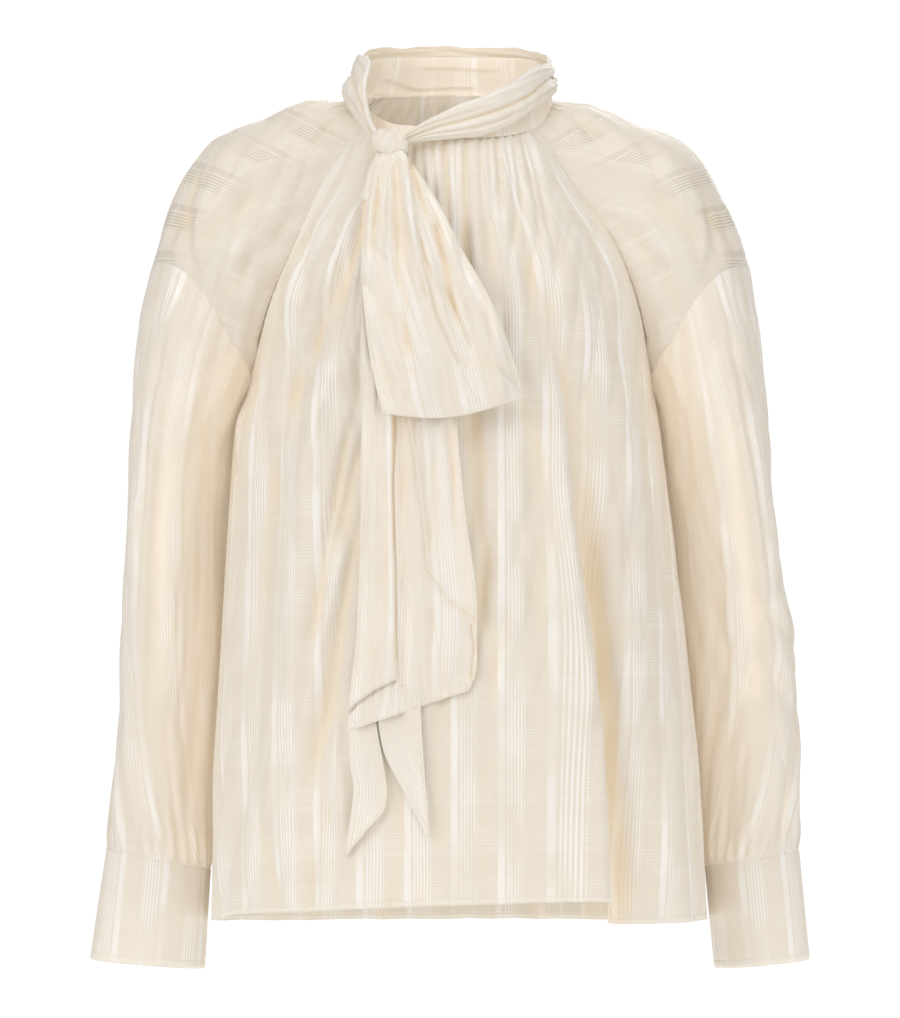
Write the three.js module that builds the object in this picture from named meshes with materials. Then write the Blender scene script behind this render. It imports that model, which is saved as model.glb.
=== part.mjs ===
// Hollow blouse with raglan shoulders, drop-shoulder sleeves, cuffs and a scarf tied in a bow at the neck.
// Millimetres, +Z up. The front faces -Y and +X is on the right as seen from the front.
// The origin is the level of the shoulders' neck points, where a wearer holds the blouse up.

import * as THREE from "three";

// Cloth, seams and finish
const WALL = 1.5; // cloth wall with its turned seam allowance
const SEAM_GAP = 0.3; // between pieces sewn to each other
const SLANTED_SEAM_DROP = 0.6; // straight down, for the same gap across the slanted drop-shoulder seam
const SCARF_WALL = 1.5; // scarf cut, one layer
const SCARF_FOLDED = 4.6; // scarf wound round the neck, several layers
const COLOURS = {
  body: 0xefe6d7,
  shade: 0xe9dcc4,
  scarf: 0xf1e8da,
};
const ROUGHNESS = 0.62;

// Plan of the body: sections are flattened ovals
const OVAL_POWER = 2.2;
const DEGREE = Math.PI / 180;

// Body sections, top to bottom. Drop is the distance below the origin. Left and right are the half widths
// at the raglan seams above the underarm and at the side seams below it, the angle is the seams' place
// round the oval, and the depth is the oval's from its middle line.
const UNDERARM_DROP = 225;
const RAGLAN_END = 0.985; // level, 0 at the neck and 1 at the underarm, where the raglan seams end
const FRONT_SECTIONS = [
  { drop: -12, left: 60, right: 54, angle: 58, depth: 56 },
  { drop: 24, left: 71, right: 63, angle: 58, depth: 66 },
  { drop: 40, left: 82, right: 78, angle: 58, depth: 79 },
  { drop: 71, left: 102, right: 99, angle: 60, depth: 97 },
  { drop: 117, left: 123, right: 131, angle: 63, depth: 112 },
  { drop: 164, left: 143, right: 149, angle: 69, depth: 122 },
  { drop: 195, left: 152, right: 156, angle: 77, depth: 126 },
  { drop: 222, left: 159.4, right: 161.4, angle: 84.6, depth: 129 },
  { drop: 225, left: 160, right: 162, angle: 85.4, depth: 129 },
  { drop: 264, left: 172, right: 168, angle: 89, depth: 132 },
  { drop: 345, left: 178, right: 178, angle: 90, depth: 138 },
  { drop: 430, left: 183, right: 188, angle: 90, depth: 143 },
  { drop: 544, left: 189, right: 200, angle: 90, depth: 151 },
  { drop: 665, left: 191, right: 206, angle: 90, depth: 159 },
];
const BACK_SECTIONS = [
  { drop: -12, left: 58, right: 58, angle: 47, depth: 62 },
  { drop: 24, left: 86, right: 86, angle: 56, depth: 84 },
  { drop: 40, left: 96, right: 96, angle: 58, depth: 90 },
  { drop: 71, left: 114, right: 114, angle: 61, depth: 95 },
  { drop: 117, left: 134, right: 134, angle: 66, depth: 99 },
  { drop: 164, left: 149, right: 149, angle: 73, depth: 102 },
  { drop: 195, left: 155, right: 156, angle: 80, depth: 103 },
  { drop: 222, left: 159.4, right: 161.4, angle: 83, depth: 103 },
  { drop: 225, left: 160, right: 162, angle: 84, depth: 103 },
  { drop: 264, left: 172, right: 168, angle: 88.6, depth: 104 },
  { drop: 345, left: 178, right: 178, angle: 90, depth: 107 },
  { drop: 430, left: 183, right: 188, angle: 90, depth: 111 },
  { drop: 544, left: 189, right: 200, angle: 90, depth: 117 },
  { drop: 665, left: 191, right: 206, angle: 90, depth: 124 },
];
const MIDDLE_LINE = [
  { drop: -12, lie: -2 },
  { drop: 24, lie: 0 },
  { drop: 40, lie: 2 },
  { drop: 71, lie: 4 },
  { drop: 117, lie: 5 },
  { drop: 665, lie: 5 },
];

// Hem: drop at each angle round the body, 0 at the middle of the front, minus on the left as seen
const HEM = [
  { angle: -180, drop: 664 },
  { angle: -120, drop: 661 },
  { angle: -84, drop: 655 },
  { angle: -70, drop: 651 },
  { angle: -58, drop: 646 },
  { angle: -38, drop: 642 },
  { angle: 0, drop: 635 },
  { angle: 24, drop: 633 },
  { angle: 31, drop: 634 },
  { angle: 37, drop: 650 },
  { angle: 46, drop: 652 },
  { angle: 84, drop: 654 },
  { angle: 120, drop: 660 },
  { angle: 180, drop: 664 },
];

// Largest folds of the body: place round it at the top and at the hem, reach down it, width and rise
const FOLDS = [
  { topAngle: 3, hemAngle: 10, from: 44, to: 330, width: 3.4, rise: -4 },
  { topAngle: 14, hemAngle: 26, from: 50, to: 420, width: 4.5, rise: -5 },
  { topAngle: 9, hemAngle: 18, from: 60, to: 700, width: 6, rise: 4 },
  { topAngle: 28, hemAngle: 44, from: 60, to: 700, width: 6, rise: -6 },
  { topAngle: 26, hemAngle: 27, from: 290, to: 760, width: 6, rise: 9 },
  { topAngle: 34, hemAngle: 39, from: 290, to: 760, width: 5, rise: -15 },
  { topAngle: 50, hemAngle: 60, from: 160, to: 760, width: 7, rise: 5 },
  { topAngle: -44, hemAngle: -62, from: 70, to: 480, width: 5, rise: -6 },
  { topAngle: -30, hemAngle: -48, from: 90, to: 620, width: 6, rise: 5 },
  { topAngle: -12, hemAngle: -36, from: 250, to: 560, width: 4, rise: -7 },
  { topAngle: -26, hemAngle: -22, from: 430, to: 760, width: 7, rise: 5 },
  { topAngle: -62, hemAngle: -66, from: 330, to: 760, width: 8, rise: 4 },
  { topAngle: 180, hemAngle: 176, from: 40, to: 760, width: 9, rise: 6 },
  { topAngle: 152, hemAngle: 146, from: 60, to: 760, width: 7, rise: -6 },
  { topAngle: -150, hemAngle: -142, from: 80, to: 760, width: 8, rise: -6 },
  { topAngle: 128, hemAngle: 118, from: 260, to: 760, width: 9, rise: 6 },
  { topAngle: -126, hemAngle: -116, from: 300, to: 760, width: 9, rise: 6 },
];
const FOLD_EASE = 90; // length over which a fold starts or dies away
const FOLD_TRAVEL = 620; // length over which a fold moves from its top to its hem angle

// Gathers of the front and back neck edges
const NECK_GATHERS = { front: 17, back: 11, rise: 1.3, fade: 60 };

// Neck seam: an oval ring, lower at the front, with its drop and the height of the neckband that stands
// on it at each angle from the middle of the front
const NECK = { halfWidth: 82.5, front: 73, back: 62, middle: -2, lean: 3 };
const NECK_LINE = [
  { angle: 0, drop: 36, band: 9 },
  { angle: 30, drop: 33, band: 9 },
  { angle: 55, drop: 26, band: 14 },
  { angle: 80, drop: 8, band: 24 },
  { angle: 105, drop: 0, band: 30 },
  { angle: 135, drop: -4, band: 32 },
  { angle: 180, drop: -6, band: 32 },
];
const RAGLAN_NECK = { left: 59.4, right: 50.8, back: 135 }; // angles where the raglan seams meet it
const PANEL_TOPS = {
  front: { middle: 36, seam: 24 },
  back: { middle: -14, seam: -11 },
};
const NECK_REACH = 0.35; // level down to which the panels are drawn onto the neck seam

// Sleeves, from the drop-shoulder seam to the cuff seam: outer and inner edge across, middle and half
// depth fore and aft, turn of the oval, climb of the ring towards its outer edge, lift at front and back
const SLEEVES = {
  left: [
    { drop: 178, outer: 238, inner: 160.5, middle: 5, depth: 60, turn: 0, climb: 1.2, lift: 28 },
    { drop: 215, outer: 249, inner: 171, middle: 9, depth: 65, turn: 4, climb: 0.85, lift: 13 },
    { drop: 262, outer: 255, inner: 177.5, middle: 21, depth: 67, turn: 10, climb: 0.45, lift: 4 },
    { drop: 330, outer: 259, inner: 176, middle: 37, depth: 66, turn: 17, climb: 0.15, lift: 0 },
    { drop: 400, outer: 262, inner: 175, middle: 47, depth: 63, turn: 19, climb: 0, lift: 0 },
    { drop: 480, outer: 265, inner: 180, middle: 49, depth: 58, turn: 18, climb: 0.02, lift: 0 },
    { drop: 560, outer: 272, inner: 188.5, middle: 42, depth: 48, turn: 9, climb: 0.1, lift: 0 },
    { drop: 607, outer: 276.5, inner: 192.5, middle: 33, depth: 35, turn: 0, climb: 0.21, lift: 0 },
  ],
  right: [
    { drop: 180, outer: 240, inner: 162.5, middle: 5, depth: 60, turn: 0, climb: 1.16, lift: 28 },
    { drop: 216, outer: 247, inner: 170, middle: 9, depth: 65, turn: 4, climb: 0.8, lift: 13 },
    { drop: 262, outer: 253, inner: 173.5, middle: 21, depth: 67, turn: 10, climb: 0.45, lift: 4 },
    { drop: 330, outer: 261, inner: 175, middle: 37, depth: 66, turn: 17, climb: 0.15, lift: 0 },
    { drop: 400, outer: 270, inner: 179, middle: 47, depth: 63, turn: 19, climb: 0, lift: 0 },
    { drop: 480, outer: 278, inner: 189, middle: 49, depth: 58, turn: 18, climb: 0.02, lift: 0 },
    { drop: 560, outer: 280, inner: 200.5, middle: 44, depth: 48, turn: 9, climb: 0.1, lift: 0 },
    { drop: 607, outer: 281, inner: 205, middle: 37, depth: 36, turn: 0, climb: 0.17, lift: 0 },
  ],
};
const CUFF_SEAM_DROP = 607;
const CUFF_ENDS = {
  left: { drop: 692.5, outer: 290, inner: 197, middle: 30, depth: 29, turn: 0, climb: 0.08, lift: 0 },
  right: { drop: 692.5, outer: 290, inner: 213, middle: 35, depth: 35, turn: 0, climb: 0.09, lift: 0 },
};
const SLEEVE_FOLDS = [
  { place: 0.22, from: 215, to: 520, width: 0.035, rise: -5 },
  { place: 0.33, from: 260, to: 620, width: 0.045, rise: 4 },
  { place: 0.42, from: 200, to: 420, width: 0.04, rise: -4 },
  { place: 0.12, from: 330, to: 620, width: 0.04, rise: -4 },
  { place: 0.7, from: 250, to: 560, width: 0.05, rise: -5 },
  { place: 0.85, from: 300, to: 600, width: 0.05, rise: -3 },
];
const CUFF_GATHERS = { count: 12, rise: 1.6, fullest: 12 };

// Ridge of the shoulder between the neck and the drop-shoulder seam, half way round each raglan piece
const RIDGE = {
  left: [
    { along: 0.15, out: 112, drop: 1 },
    { along: 0.33, out: 151, drop: 16 },
    { along: 0.5, out: 187, drop: 31 },
    { along: 0.63, out: 205, drop: 51 },
    { along: 0.8, out: 223, drop: 86 },
  ],
  right: [
    { along: 0.15, out: 108, drop: 3 },
    { along: 0.33, out: 147, drop: 18 },
    { along: 0.5, out: 181, drop: 31 },
    { along: 0.63, out: 202, drop: 51 },
    { along: 0.8, out: 221, drop: 88 },
  ],
};

// Scarf round the neck: at each angle from the middle of the front, minus on the left, the drops of its
// lower and upper edges and the gap to the neckband
const SCARF_BACK = [
  { angle: 84, low: -7, high: -30, gap: 1 },
  { angle: 105, low: -7, high: -38, gap: 0.6 },
  { angle: 135, low: -9, high: -44, gap: 0.6 },
  { angle: 180, low: -11, high: -47, gap: 0.6 },
  { angle: 225, low: -9, high: -45, gap: 0.6 },
  { angle: 258, low: -6, high: -38, gap: 0.6 },
  { angle: 268, low: -6, high: -36, gap: 1 },
];
const SCARF_FRONT = [
  { angle: -20.8, low: 41, high: 31, gap: 12 },
  { angle: -10, low: 38, high: 20, gap: 7 },
  { angle: 5, low: 36, high: 9, gap: 3.5 },
  { angle: 22, low: 30, high: -2, gap: 2.4 },
  { angle: 42, low: 18, high: -14, gap: 2 },
  { angle: 62, low: 3, high: -25, gap: 1.5 },
  { angle: 83.5, low: -6, high: -29, gap: 1 },
];
const SCARF_LEFT = [
  { angle: -91.5, low: -6, high: -36, gap: 1 },
  { angle: -78, low: 0, high: -36, gap: 1.8 },
  { angle: -66, low: 11, high: -33, gap: 2.8 },
  { angle: -57, low: 20, high: -27, gap: 4 },
  { angle: -49, low: 28, high: -10, gap: 7 },
  { angle: -42, low: 35, high: 14, gap: 12 },
  { angle: -37, low: 40, high: 26, gap: 16 },
  { angle: -33.5, low: 42, high: 31, gap: 18.6 },
];

// Knot, bow loop and tail, seen from the front: across is plus to the right
const KNOT = {
  across: -47,
  drop: 39.5,
  lie: -88,
  halfWidth: 11.5,
  halfHeight: 8.5,
  halfDepth: 9,
  power: 3.5,
};
const LOOP = [
  { along: 0, left: -53, right: -41, leftDrop: 48.4, rightDrop: 48.4, out: 15 },
  { along: 0.06, left: -58, right: -30, leftDrop: 62, rightDrop: 60, out: 19 },
  { along: 0.13, left: -63, right: -16, leftDrop: 85, rightDrop: 80, out: 21 },
  { along: 0.26, left: -66, right: 8, leftDrop: 134, rightDrop: 122, out: 22 },
  { along: 0.38, left: -64, right: 37, leftDrop: 190, rightDrop: 178, out: 22 },
  { along: 0.47, left: -54, right: 54, leftDrop: 246, rightDrop: 232, out: 21 },
  { along: 0.5, left: -51, right: 55, leftDrop: 253, rightDrop: 240, out: 17 },
  { along: 0.53, left: -52, right: 53, leftDrop: 246, rightDrop: 233, out: 13 },
  { along: 0.62, left: -60, right: 35, leftDrop: 190, rightDrop: 180, out: 12 },
  { along: 0.74, left: -63, right: 7, leftDrop: 134, rightDrop: 124, out: 12 },
  { along: 0.87, left: -61, right: -17, leftDrop: 85, rightDrop: 82, out: 11 },
  { along: 0.94, left: -56, right: -30, leftDrop: 63, rightDrop: 62, out: 8 },
  { along: 1, left: -52, right: -42, leftDrop: 48.4, rightDrop: 48.4, out: 6 },
];
const TAIL = [
  { along: 0, left: -54, right: -40, leftDrop: 48.6, rightDrop: 48.6, out: 1.5 },
  { along: 0.06, left: -64, right: -30, leftDrop: 75, rightDrop: 75, out: 4.5 },
  { along: 0.25, left: -71, right: -8, leftDrop: 160, rightDrop: 160, out: 7 },
  { along: 0.5, left: -70, right: 5, leftDrop: 262, rightDrop: 260, out: 8 },
  { along: 0.65, left: -70, right: 11, leftDrop: 330, rightDrop: 322, out: 8 },
  { along: 0.85, left: -72, right: 22, leftDrop: 425, rightDrop: 408, out: 8 },
  { along: 0.95, left: -77, right: 20, leftDrop: 478, rightDrop: 450, out: 8 },
  { along: 1, left: -80, right: 15, leftDrop: 500, rightDrop: 468, out: 8 },
];
const TIP_LEFT = [
  { along: 0, left: -76, right: -60, leftDrop: 478, rightDrop: 470 },
  { along: 0.3, left: -79, right: -55, leftDrop: 512, rightDrop: 506 },
  { along: 0.65, left: -76, right: -52, leftDrop: 553, rightDrop: 545 },
  { along: 1, left: -83, right: -80, leftDrop: 597, rightDrop: 595 },
];
const TIP_RIGHT = [
  { along: 0, left: -55, right: -24, leftDrop: 470, rightDrop: 462 },
  { along: 0.35, left: -53, right: -22, leftDrop: 510, rightDrop: 498 },
  { along: 0.7, left: -37, right: -20, leftDrop: 545, rightDrop: 540 },
  { along: 1, left: -18, right: -15.5, leftDrop: 581, rightDrop: 580 },
];
const TIP_OUT = 4.3; // tips' faces in front of the front panel
const TAIL_FOLD = 1.5; // rise of the tail's soft folds

const clamp01 = (value) => Math.min(1, Math.max(0, value));
const ease = (value) => clamp01(value) ** 2 * (3 - 2 * clamp01(value));
const mix = (from, to, share) => from + (to - from) * share;
const vec = (x, y, z) => new THREE.Vector3(x, y, z);

// A column's value at a place between a table's rows, on a smooth curve through them
function along(table, key, place, column) {
  const last = table.length - 1;
  let row = 0;
  while (row < last - 1 && place > table[row + 1][key]) row += 1;
  const chord = (k) => {
    const from = table[Math.min(Math.max(k, 0), last - 1)];
    const to = table[Math.min(Math.max(k, 0), last - 1) + 1];
    return (to[column] - from[column]) / (to[key] - from[key]);
  };
  const slope = (k) => {
    const before = chord(k - 1);
    const after = chord(k);
    return before * after > 0 ? (2 * before * after) / (before + after) : 0;
  };
  const start = table[row];
  const end = table[row + 1];
  const step = end[key] - start[key];
  const t = clamp01((place - start[key]) / step);
  const curved = slope(row) * (t - 2 * t ** 2 + t ** 3) + slope(row + 1) * (t ** 3 - t ** 2);
  return mix(start[column], end[column], 3 * t ** 2 - 2 * t ** 3) + step * curved;
}

// Triangles between two rows of points, which may have different counts
function stitch(faces, upper, lower, around) {
  const steps = (row) => (around ? row.count : row.count - 1);
  const at = (row, k) => row.start + (around ? k % row.count : k);
  let i = 0;
  let j = 0;
  while (i < steps(upper) || j < steps(lower)) {
    const useUpper = j >= steps(lower) || (i + 1) * steps(lower) <= (j + 1) * steps(upper);
    if (useUpper && i < steps(upper)) {
      faces.push(at(upper, i), at(lower, j), at(upper, i + 1));
      i += 1;
    } else {
      faces.push(at(upper, i), at(lower, j), at(lower, j + 1));
      j += 1;
    }
  }
}

// Closed geometry from points and triangles, turned to face outward
function solid(points, faces) {
  const volume = faces.reduce((sum, _, k) => {
    if (k % 3) return sum;
    const [a, b, c] = [points[faces[k]], points[faces[k + 1]], points[faces[k + 2]]];
    return sum + a.dot(b.clone().cross(c)) / 6;
  }, 0);
  const geometry = new THREE.BufferGeometry().setFromPoints(points);
  geometry.setIndex(volume < 0 ? [...faces].reverse() : faces);
  geometry.computeVertexNormals();
  return geometry;
}

// Unit normal of a surface of two parameters, on the side away from an inside point
function outward(surface, c, r, inside) {
  const small = 1e-3;
  const across = surface(clamp01(c + small), r).sub(surface(clamp01(c - small), r));
  const down = surface(c, clamp01(r + small)).sub(surface(c, clamp01(r - small)));
  const normal = across.cross(down).normalize();
  const away = surface(c, r).sub(inside(c, r));
  return normal.dot(away) < 0 ? normal.negate() : normal;
}

// Cloth wall: outer points are a smooth surface raised by its relief, and inner points lie one
// thickness in. Rows hold the place of each row and its number of columns.
function clothWall({ surface, relief, inside, rows, around, thickness = WALL, edge }) {
  const points = [];
  const outerRows = [];
  const innerRows = [];
  const directions = rows.map(({ place, columns }) =>
    Array.from({ length: columns }, (_, k) => {
      const c = around ? k / columns : k / (columns - 1);
      const normal = outward(surface, c, place, inside);
      const outer = surface(c, place).addScaledVector(normal, relief ? relief(c, place) : 0);
      const inward = (edge && edge(c, place)) || normal.clone().negate();
      return { outer, inner: outer.clone().addScaledVector(inward, thickness) };
    }),
  );
  for (const row of directions) {
    outerRows.push({ start: points.length, count: row.length });
    points.push(...row.map((p) => p.outer));
  }
  for (const row of directions) {
    innerRows.push({ start: points.length, count: row.length });
    points.push(...row.map((p) => p.inner));
  }
  const faces = [];
  const last = rows.length - 1;
  for (let k = 0; k < last; k += 1) {
    stitch(faces, outerRows[k], outerRows[k + 1], around);
    const inner = [];
    stitch(inner, innerRows[k], innerRows[k + 1], around);
    faces.push(...inner.reverse());
  }
  stitch(faces, innerRows[0], outerRows[0], around);
  stitch(faces, outerRows[last], innerRows[last], around);
  if (!around) {
    const rim = (from, to) => {
      for (let k = 0; k < last; k += 1) {
        faces.push(from[k][0], from[k + 1][0], to[k][0]);
        faces.push(to[k][0], from[k + 1][0], to[k + 1][0]);
      }
    };
    const first = (list) => list.map((row) => [row.start]);
    const final = (list) => list.map((row) => [row.start + row.count - 1]);
    rim(first(innerRows), first(outerRows));
    rim(final(outerRows), final(innerRows));
  }
  return solid(points, faces);
}

// Solid through closed rings of points, with flat ends
function ringSolid(rings) {
  const points = rings.flat();
  const rows = rings.map((ring, k) => ({ start: k * ring.length, count: ring.length }));
  const faces = [];
  for (let k = 0; k + 1 < rows.length; k += 1) stitch(faces, rows[k], rows[k + 1], true);
  for (const [ring, row, turn] of [
    [rings[0], rows[0], 1],
    [rings.at(-1), rows.at(-1), -1],
  ]) {
    const hub = points.length;
    points.push(ring.reduce((sum, p) => sum.add(p), vec(0, 0, 0)).divideScalar(ring.length));
    for (let k = 0; k < row.count; k += 1) {
      const pair = [row.start + k, row.start + ((k + 1) % row.count)];
      faces.push(hub, pair[turn > 0 ? 0 : 1], pair[turn > 0 ? 1 : 0]);
    }
  }
  return solid(points, faces);
}

// Neck seam's point at an angle from the middle of the front
function neckRing(angle, grow = 0) {
  const turned = Math.abs(((angle + 540) % 360) - 180);
  const cos = Math.cos(angle * DEGREE);
  const depth = cos > 0 ? NECK.front : NECK.back;
  const drop = along(NECK_LINE, "angle", turned, "drop");
  const across = (NECK.halfWidth + grow) * Math.sin(angle * DEGREE);
  return vec(across, NECK.middle - (depth + grow) * cos, -drop);
}

// Oval section of the body at a drop: face is -1 on the front and 1 on the back
function seamHalf(table, side, drop) {
  const seam = along(table, "drop", drop, side);
  const seamAngle = along(table, "drop", drop, "angle") * DEGREE;
  return drop < UNDERARM_DROP ? seam / Math.sin(seamAngle) ** (2 / OVAL_POWER) : seam;
}

function sectionPoint(face, side, drop, angle) {
  const table = face < 0 ? FRONT_SECTIONS : BACK_SECTIONS;
  const power = 2 / OVAL_POWER;
  const depth = along(table, "drop", drop, "depth");
  const middle = along(MIDDLE_LINE, "drop", drop, "lie");
  const out = side === "left" ? -1 : 1;
  const across = out * seamHalf(table, side, drop) * Math.sin(Math.abs(angle)) ** power;
  return vec(across, middle + face * depth * Math.max(0, Math.cos(angle)) ** power, -drop);
}

// Body panel: s runs from the left seam at -1 to the right seam at 1, level from the neck at 0 through
// the underarm at 1 to the hem at 2. Near the top it is drawn onto the neck seam.
function roundBody(face, s) {
  const angle = face < 0 ? s * 90 : 180 - s * 90;
  return angle > 180 ? angle - 360 : angle;
}

function panelPoint(face, s, level) {
  const front = face < 0;
  const side = s < 0 ? "left" : "right";
  const table = front ? FRONT_SECTIONS : BACK_SECTIONS;
  const panelTop = front ? PANEL_TOPS.front : PANEL_TOPS.back;
  const top = mix(panelTop.middle, panelTop.seam, s * s);
  const hem = along(HEM, "angle", roundBody(face, s), "drop");
  const drop = level > 1 ? mix(UNDERARM_DROP, hem, level - 1) : mix(top, UNDERARM_DROP, level);
  const spread = along(table, "drop", Math.max(drop, panelTop.seam), "angle");
  const seamAngle = level < 1 ? spread : 90;
  const angle = (spread * Math.abs(s) + (seamAngle - spread) * Math.abs(s) ** 10) * DEGREE;
  const point = sectionPoint(face, side, drop, angle);
  const fade = clamp01(1 - level / NECK_REACH) ** 2;
  if (fade > 0) {
    const raglan = RAGLAN_NECK[side];
    const ringAngle = front ? s * raglan : 180 - s * (180 - RAGLAN_NECK.back);
    const topAngle = along(table, "drop", panelTop.seam, "angle") * DEGREE;
    const topPoint = sectionPoint(face, side, top, Math.abs(s) * topAngle);
    point.addScaledVector(neckRing(ringAngle).sub(topPoint), fade);
  }
  return point;
}

// Rise of the body's folds and neck gathers at a place on a panel
function panelRelief(face, s, level) {
  const turned = roundBody(face, s);
  const drop = -panelPoint(face, s, level).z;
  let rise = 0;
  for (const fold of FOLDS) {
    const travelled = clamp01((drop - PANEL_TOPS.front.middle) / FOLD_TRAVEL);
    const centre = mix(fold.topAngle, fold.hemAngle, travelled);
    const apart = Math.abs(((turned - centre + 540) % 360) - 180) / fold.width;
    const start = ease((drop - fold.from) / FOLD_EASE);
    const finish = ease((fold.to - drop) / FOLD_EASE);
    rise += fold.rise * Math.exp(-apart * apart) * start * finish;
  }
  const waves = face < 0 ? NECK_GATHERS.front : NECK_GATHERS.back;
  const below = drop - (face < 0 ? 30 : -12);
  const wave = Math.sin(Math.PI * waves * (s + 1) + 0.6 * Math.sin(5 * s));
  rise += NECK_GATHERS.rise * wave * Math.exp(-((below / NECK_GATHERS.fade) ** 2));
  return rise * (1 - s ** 8);
}

// Front panel's face at a place seen from the front, with its folds
function frontFace(across, drop) {
  const side = across < 0 ? "left" : "right";
  const half = seamHalf(FRONT_SECTIONS, side, drop);
  const angle = Math.asin(clamp01(Math.abs(across) / half) ** (OVAL_POWER / 2));
  const seamAngle = along(FRONT_SECTIONS, "drop", drop, "angle") * DEGREE;
  const s = (Math.sign(across) * angle) / seamAngle;
  const top = mix(PANEL_TOPS.front.middle, PANEL_TOPS.front.seam, s * s);
  const hem = along(HEM, "angle", s * 90, "drop");
  const above = (drop - top) / (UNDERARM_DROP - top);
  const below = (drop - UNDERARM_DROP) / (hem - UNDERARM_DROP);
  const level = Math.min(2, Math.max(0, drop < UNDERARM_DROP ? above : 1 + below));
  return panelPoint(-1, s, level).y - panelRelief(-1, s, level);
}

// Ring of a sleeve or cuff: place 0 faces the body, 0.25 the front, 0.5 the outside
function armPoint(table, side, place, drop) {
  const value = (column) => along(table, "drop", drop, column);
  const out = side === "left" ? -1 : 1;
  const turn = value("turn") * DEGREE;
  const halfWidth = (value("outer") - value("inner")) / 2;
  const depth = value("depth");
  const narrow = Math.sqrt(halfWidth ** 2 - (depth * Math.sin(turn)) ** 2) / Math.cos(turn);
  const ahead = depth * Math.sin(place * 2 * Math.PI);
  const outside = -narrow * Math.cos(place * 2 * Math.PI);
  const across = outside * Math.cos(turn) + ahead * Math.sin(turn);
  const foreAft = outside * Math.sin(turn) - ahead * Math.cos(turn);
  const rise = value("climb") * across + value("lift") * Math.sin(place * 2 * Math.PI) ** 2;
  const centre = (value("outer") + value("inner")) / 2;
  return vec(out * (centre + across), value("middle") + foreAft, -drop + rise);
}

// Middle of a sleeve's ring, and the level direction from a place on the ring towards it
function armCentre(table, side, drop) {
  const centre = (along(table, "drop", drop, "outer") + along(table, "drop", drop, "inner")) / 2;
  return vec((side === "left" ? -1 : 1) * centre, along(table, "drop", drop, "middle"), -drop);
}

function armInward(table, side, point, drop) {
  const direction = armCentre(table, side, drop).sub(point);
  direction.z = 0;
  return direction.normalize();
}

function sleeveRelief(place, drop) {
  let rise = 0;
  for (const fold of SLEEVE_FOLDS) {
    const apart = (((place - fold.place + 1.5) % 1) - 0.5) / fold.width;
    const reach = ease((drop - fold.from) / FOLD_EASE) * ease((fold.to - drop) / FOLD_EASE);
    rise += fold.rise * Math.exp(-apart * apart) * reach;
  }
  const above = Math.max(0, CUFF_SEAM_DROP - drop) / CUFF_GATHERS.fullest;
  const wave = Math.cos(2 * Math.PI * CUFF_GATHERS.count * place);
  return rise + CUFF_GATHERS.rise * wave * above * Math.exp(1 - above);
}

// Raglan shoulder piece: c runs from the front raglan seam over the shoulder to the back one, r from
// the neck to the drop-shoulder seam. Its edges lie a seam's gap off the panels' edges.
const SLEEVE_COLUMNS = 24;
const GATHERED_COLUMNS = 48;
const SHOULDER_START = 1 / SLEEVE_COLUMNS;
const SHOULDER_CORE_DROP = 40; // depth under the neck end of a shoulder piece that counts as its inside
const RAGLAN_GAP = { beside: 0.36, outside: 0.45 }; // off the panel's edge, and off its face near the arm

function panelOutward(face, s, level) {
  const point = panelPoint(face, s, level);
  return outward((c, q) => panelPoint(face, s * c, q), 1, level, () => vec(0, 5, point.z - 30));
}

function raglanEdge(face, side, r) {
  const s = side === "left" ? -1 : 1;
  const level = r * RAGLAN_END;
  const point = panelPoint(face, s, level);
  const past = point.clone().sub(panelPoint(face, s * 0.99, level)).normalize();
  const out = panelOutward(face, s, level);
  const nearArm = ease((r - 0.6) / 0.4);
  point.addScaledVector(past, RAGLAN_GAP.beside * (1 - nearArm));
  return point.addScaledVector(out, RAGLAN_GAP.outside * nearArm);
}

function shoulderPoint(side, c, r) {
  const sleeve = SLEEVES[side];
  const top = sleeve[0].drop;
  const neckFrom = side === "left" ? -RAGLAN_NECK.left : RAGLAN_NECK.right;
  const neckTo = side === "left" ? -RAGLAN_NECK.back : RAGLAN_NECK.back;
  const drop = (k) => armPoint(sleeve, side, mix(SHOULDER_START, 1 - SHOULDER_START, k), top);
  const edge = (face, k) => {
    const shift = drop(face < 0 ? 0 : 1).sub(raglanEdge(face, side, 1));
    return raglanEdge(face, side, k).addScaledVector(shift, k ** 6);
  };
  const neck = (k) => {
    const frontShift = edge(-1, 0).sub(neckRing(neckFrom));
    const backShift = edge(1, 0).sub(neckRing(neckTo));
    return neckRing(mix(neckFrom, neckTo, k)).add(frontShift.lerp(backShift, k));
  };
  const coons = (c1, r1) => {
    const edges = edge(-1, r1).lerp(edge(1, r1), c1);
    const corners = edge(-1, 0).lerp(edge(1, 0), c1).lerp(edge(-1, 1).lerp(edge(1, 1), c1), r1);
    return neck(c1).lerp(drop(c1), r1).add(edges).sub(corners);
  };
  const out = side === "left" ? -1 : 1;
  const middle = coons(0.5, r);
  const ridgeEnd = (place, point) => ({ along: place, out: Math.abs(point.x), drop: -point.z });
  const ridgeRows = [ridgeEnd(0, coons(0.5, 0)), ...RIDGE[side], ridgeEnd(1, coons(0.5, 1))];
  const ridgeOut = along(ridgeRows, "along", r, "out");
  const ridgeDrop = along(ridgeRows, "along", r, "drop");
  const ridge = vec(out * ridgeOut, middle.y, -ridgeDrop);
  const bump = Math.sin(Math.PI * c) ** 1.4;
  return coons(c, r).addScaledVector(ridge.sub(middle), bump);
}

// Even row places with their number of columns, with or without the last place
function evenRows(from, to, count, columns, closed = false) {
  const length = closed ? count + 1 : count;
  return Array.from({ length }, (_, k) => ({ place: mix(from, to, k / count), columns }));
}

const blouse = new THREE.Group();

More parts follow.
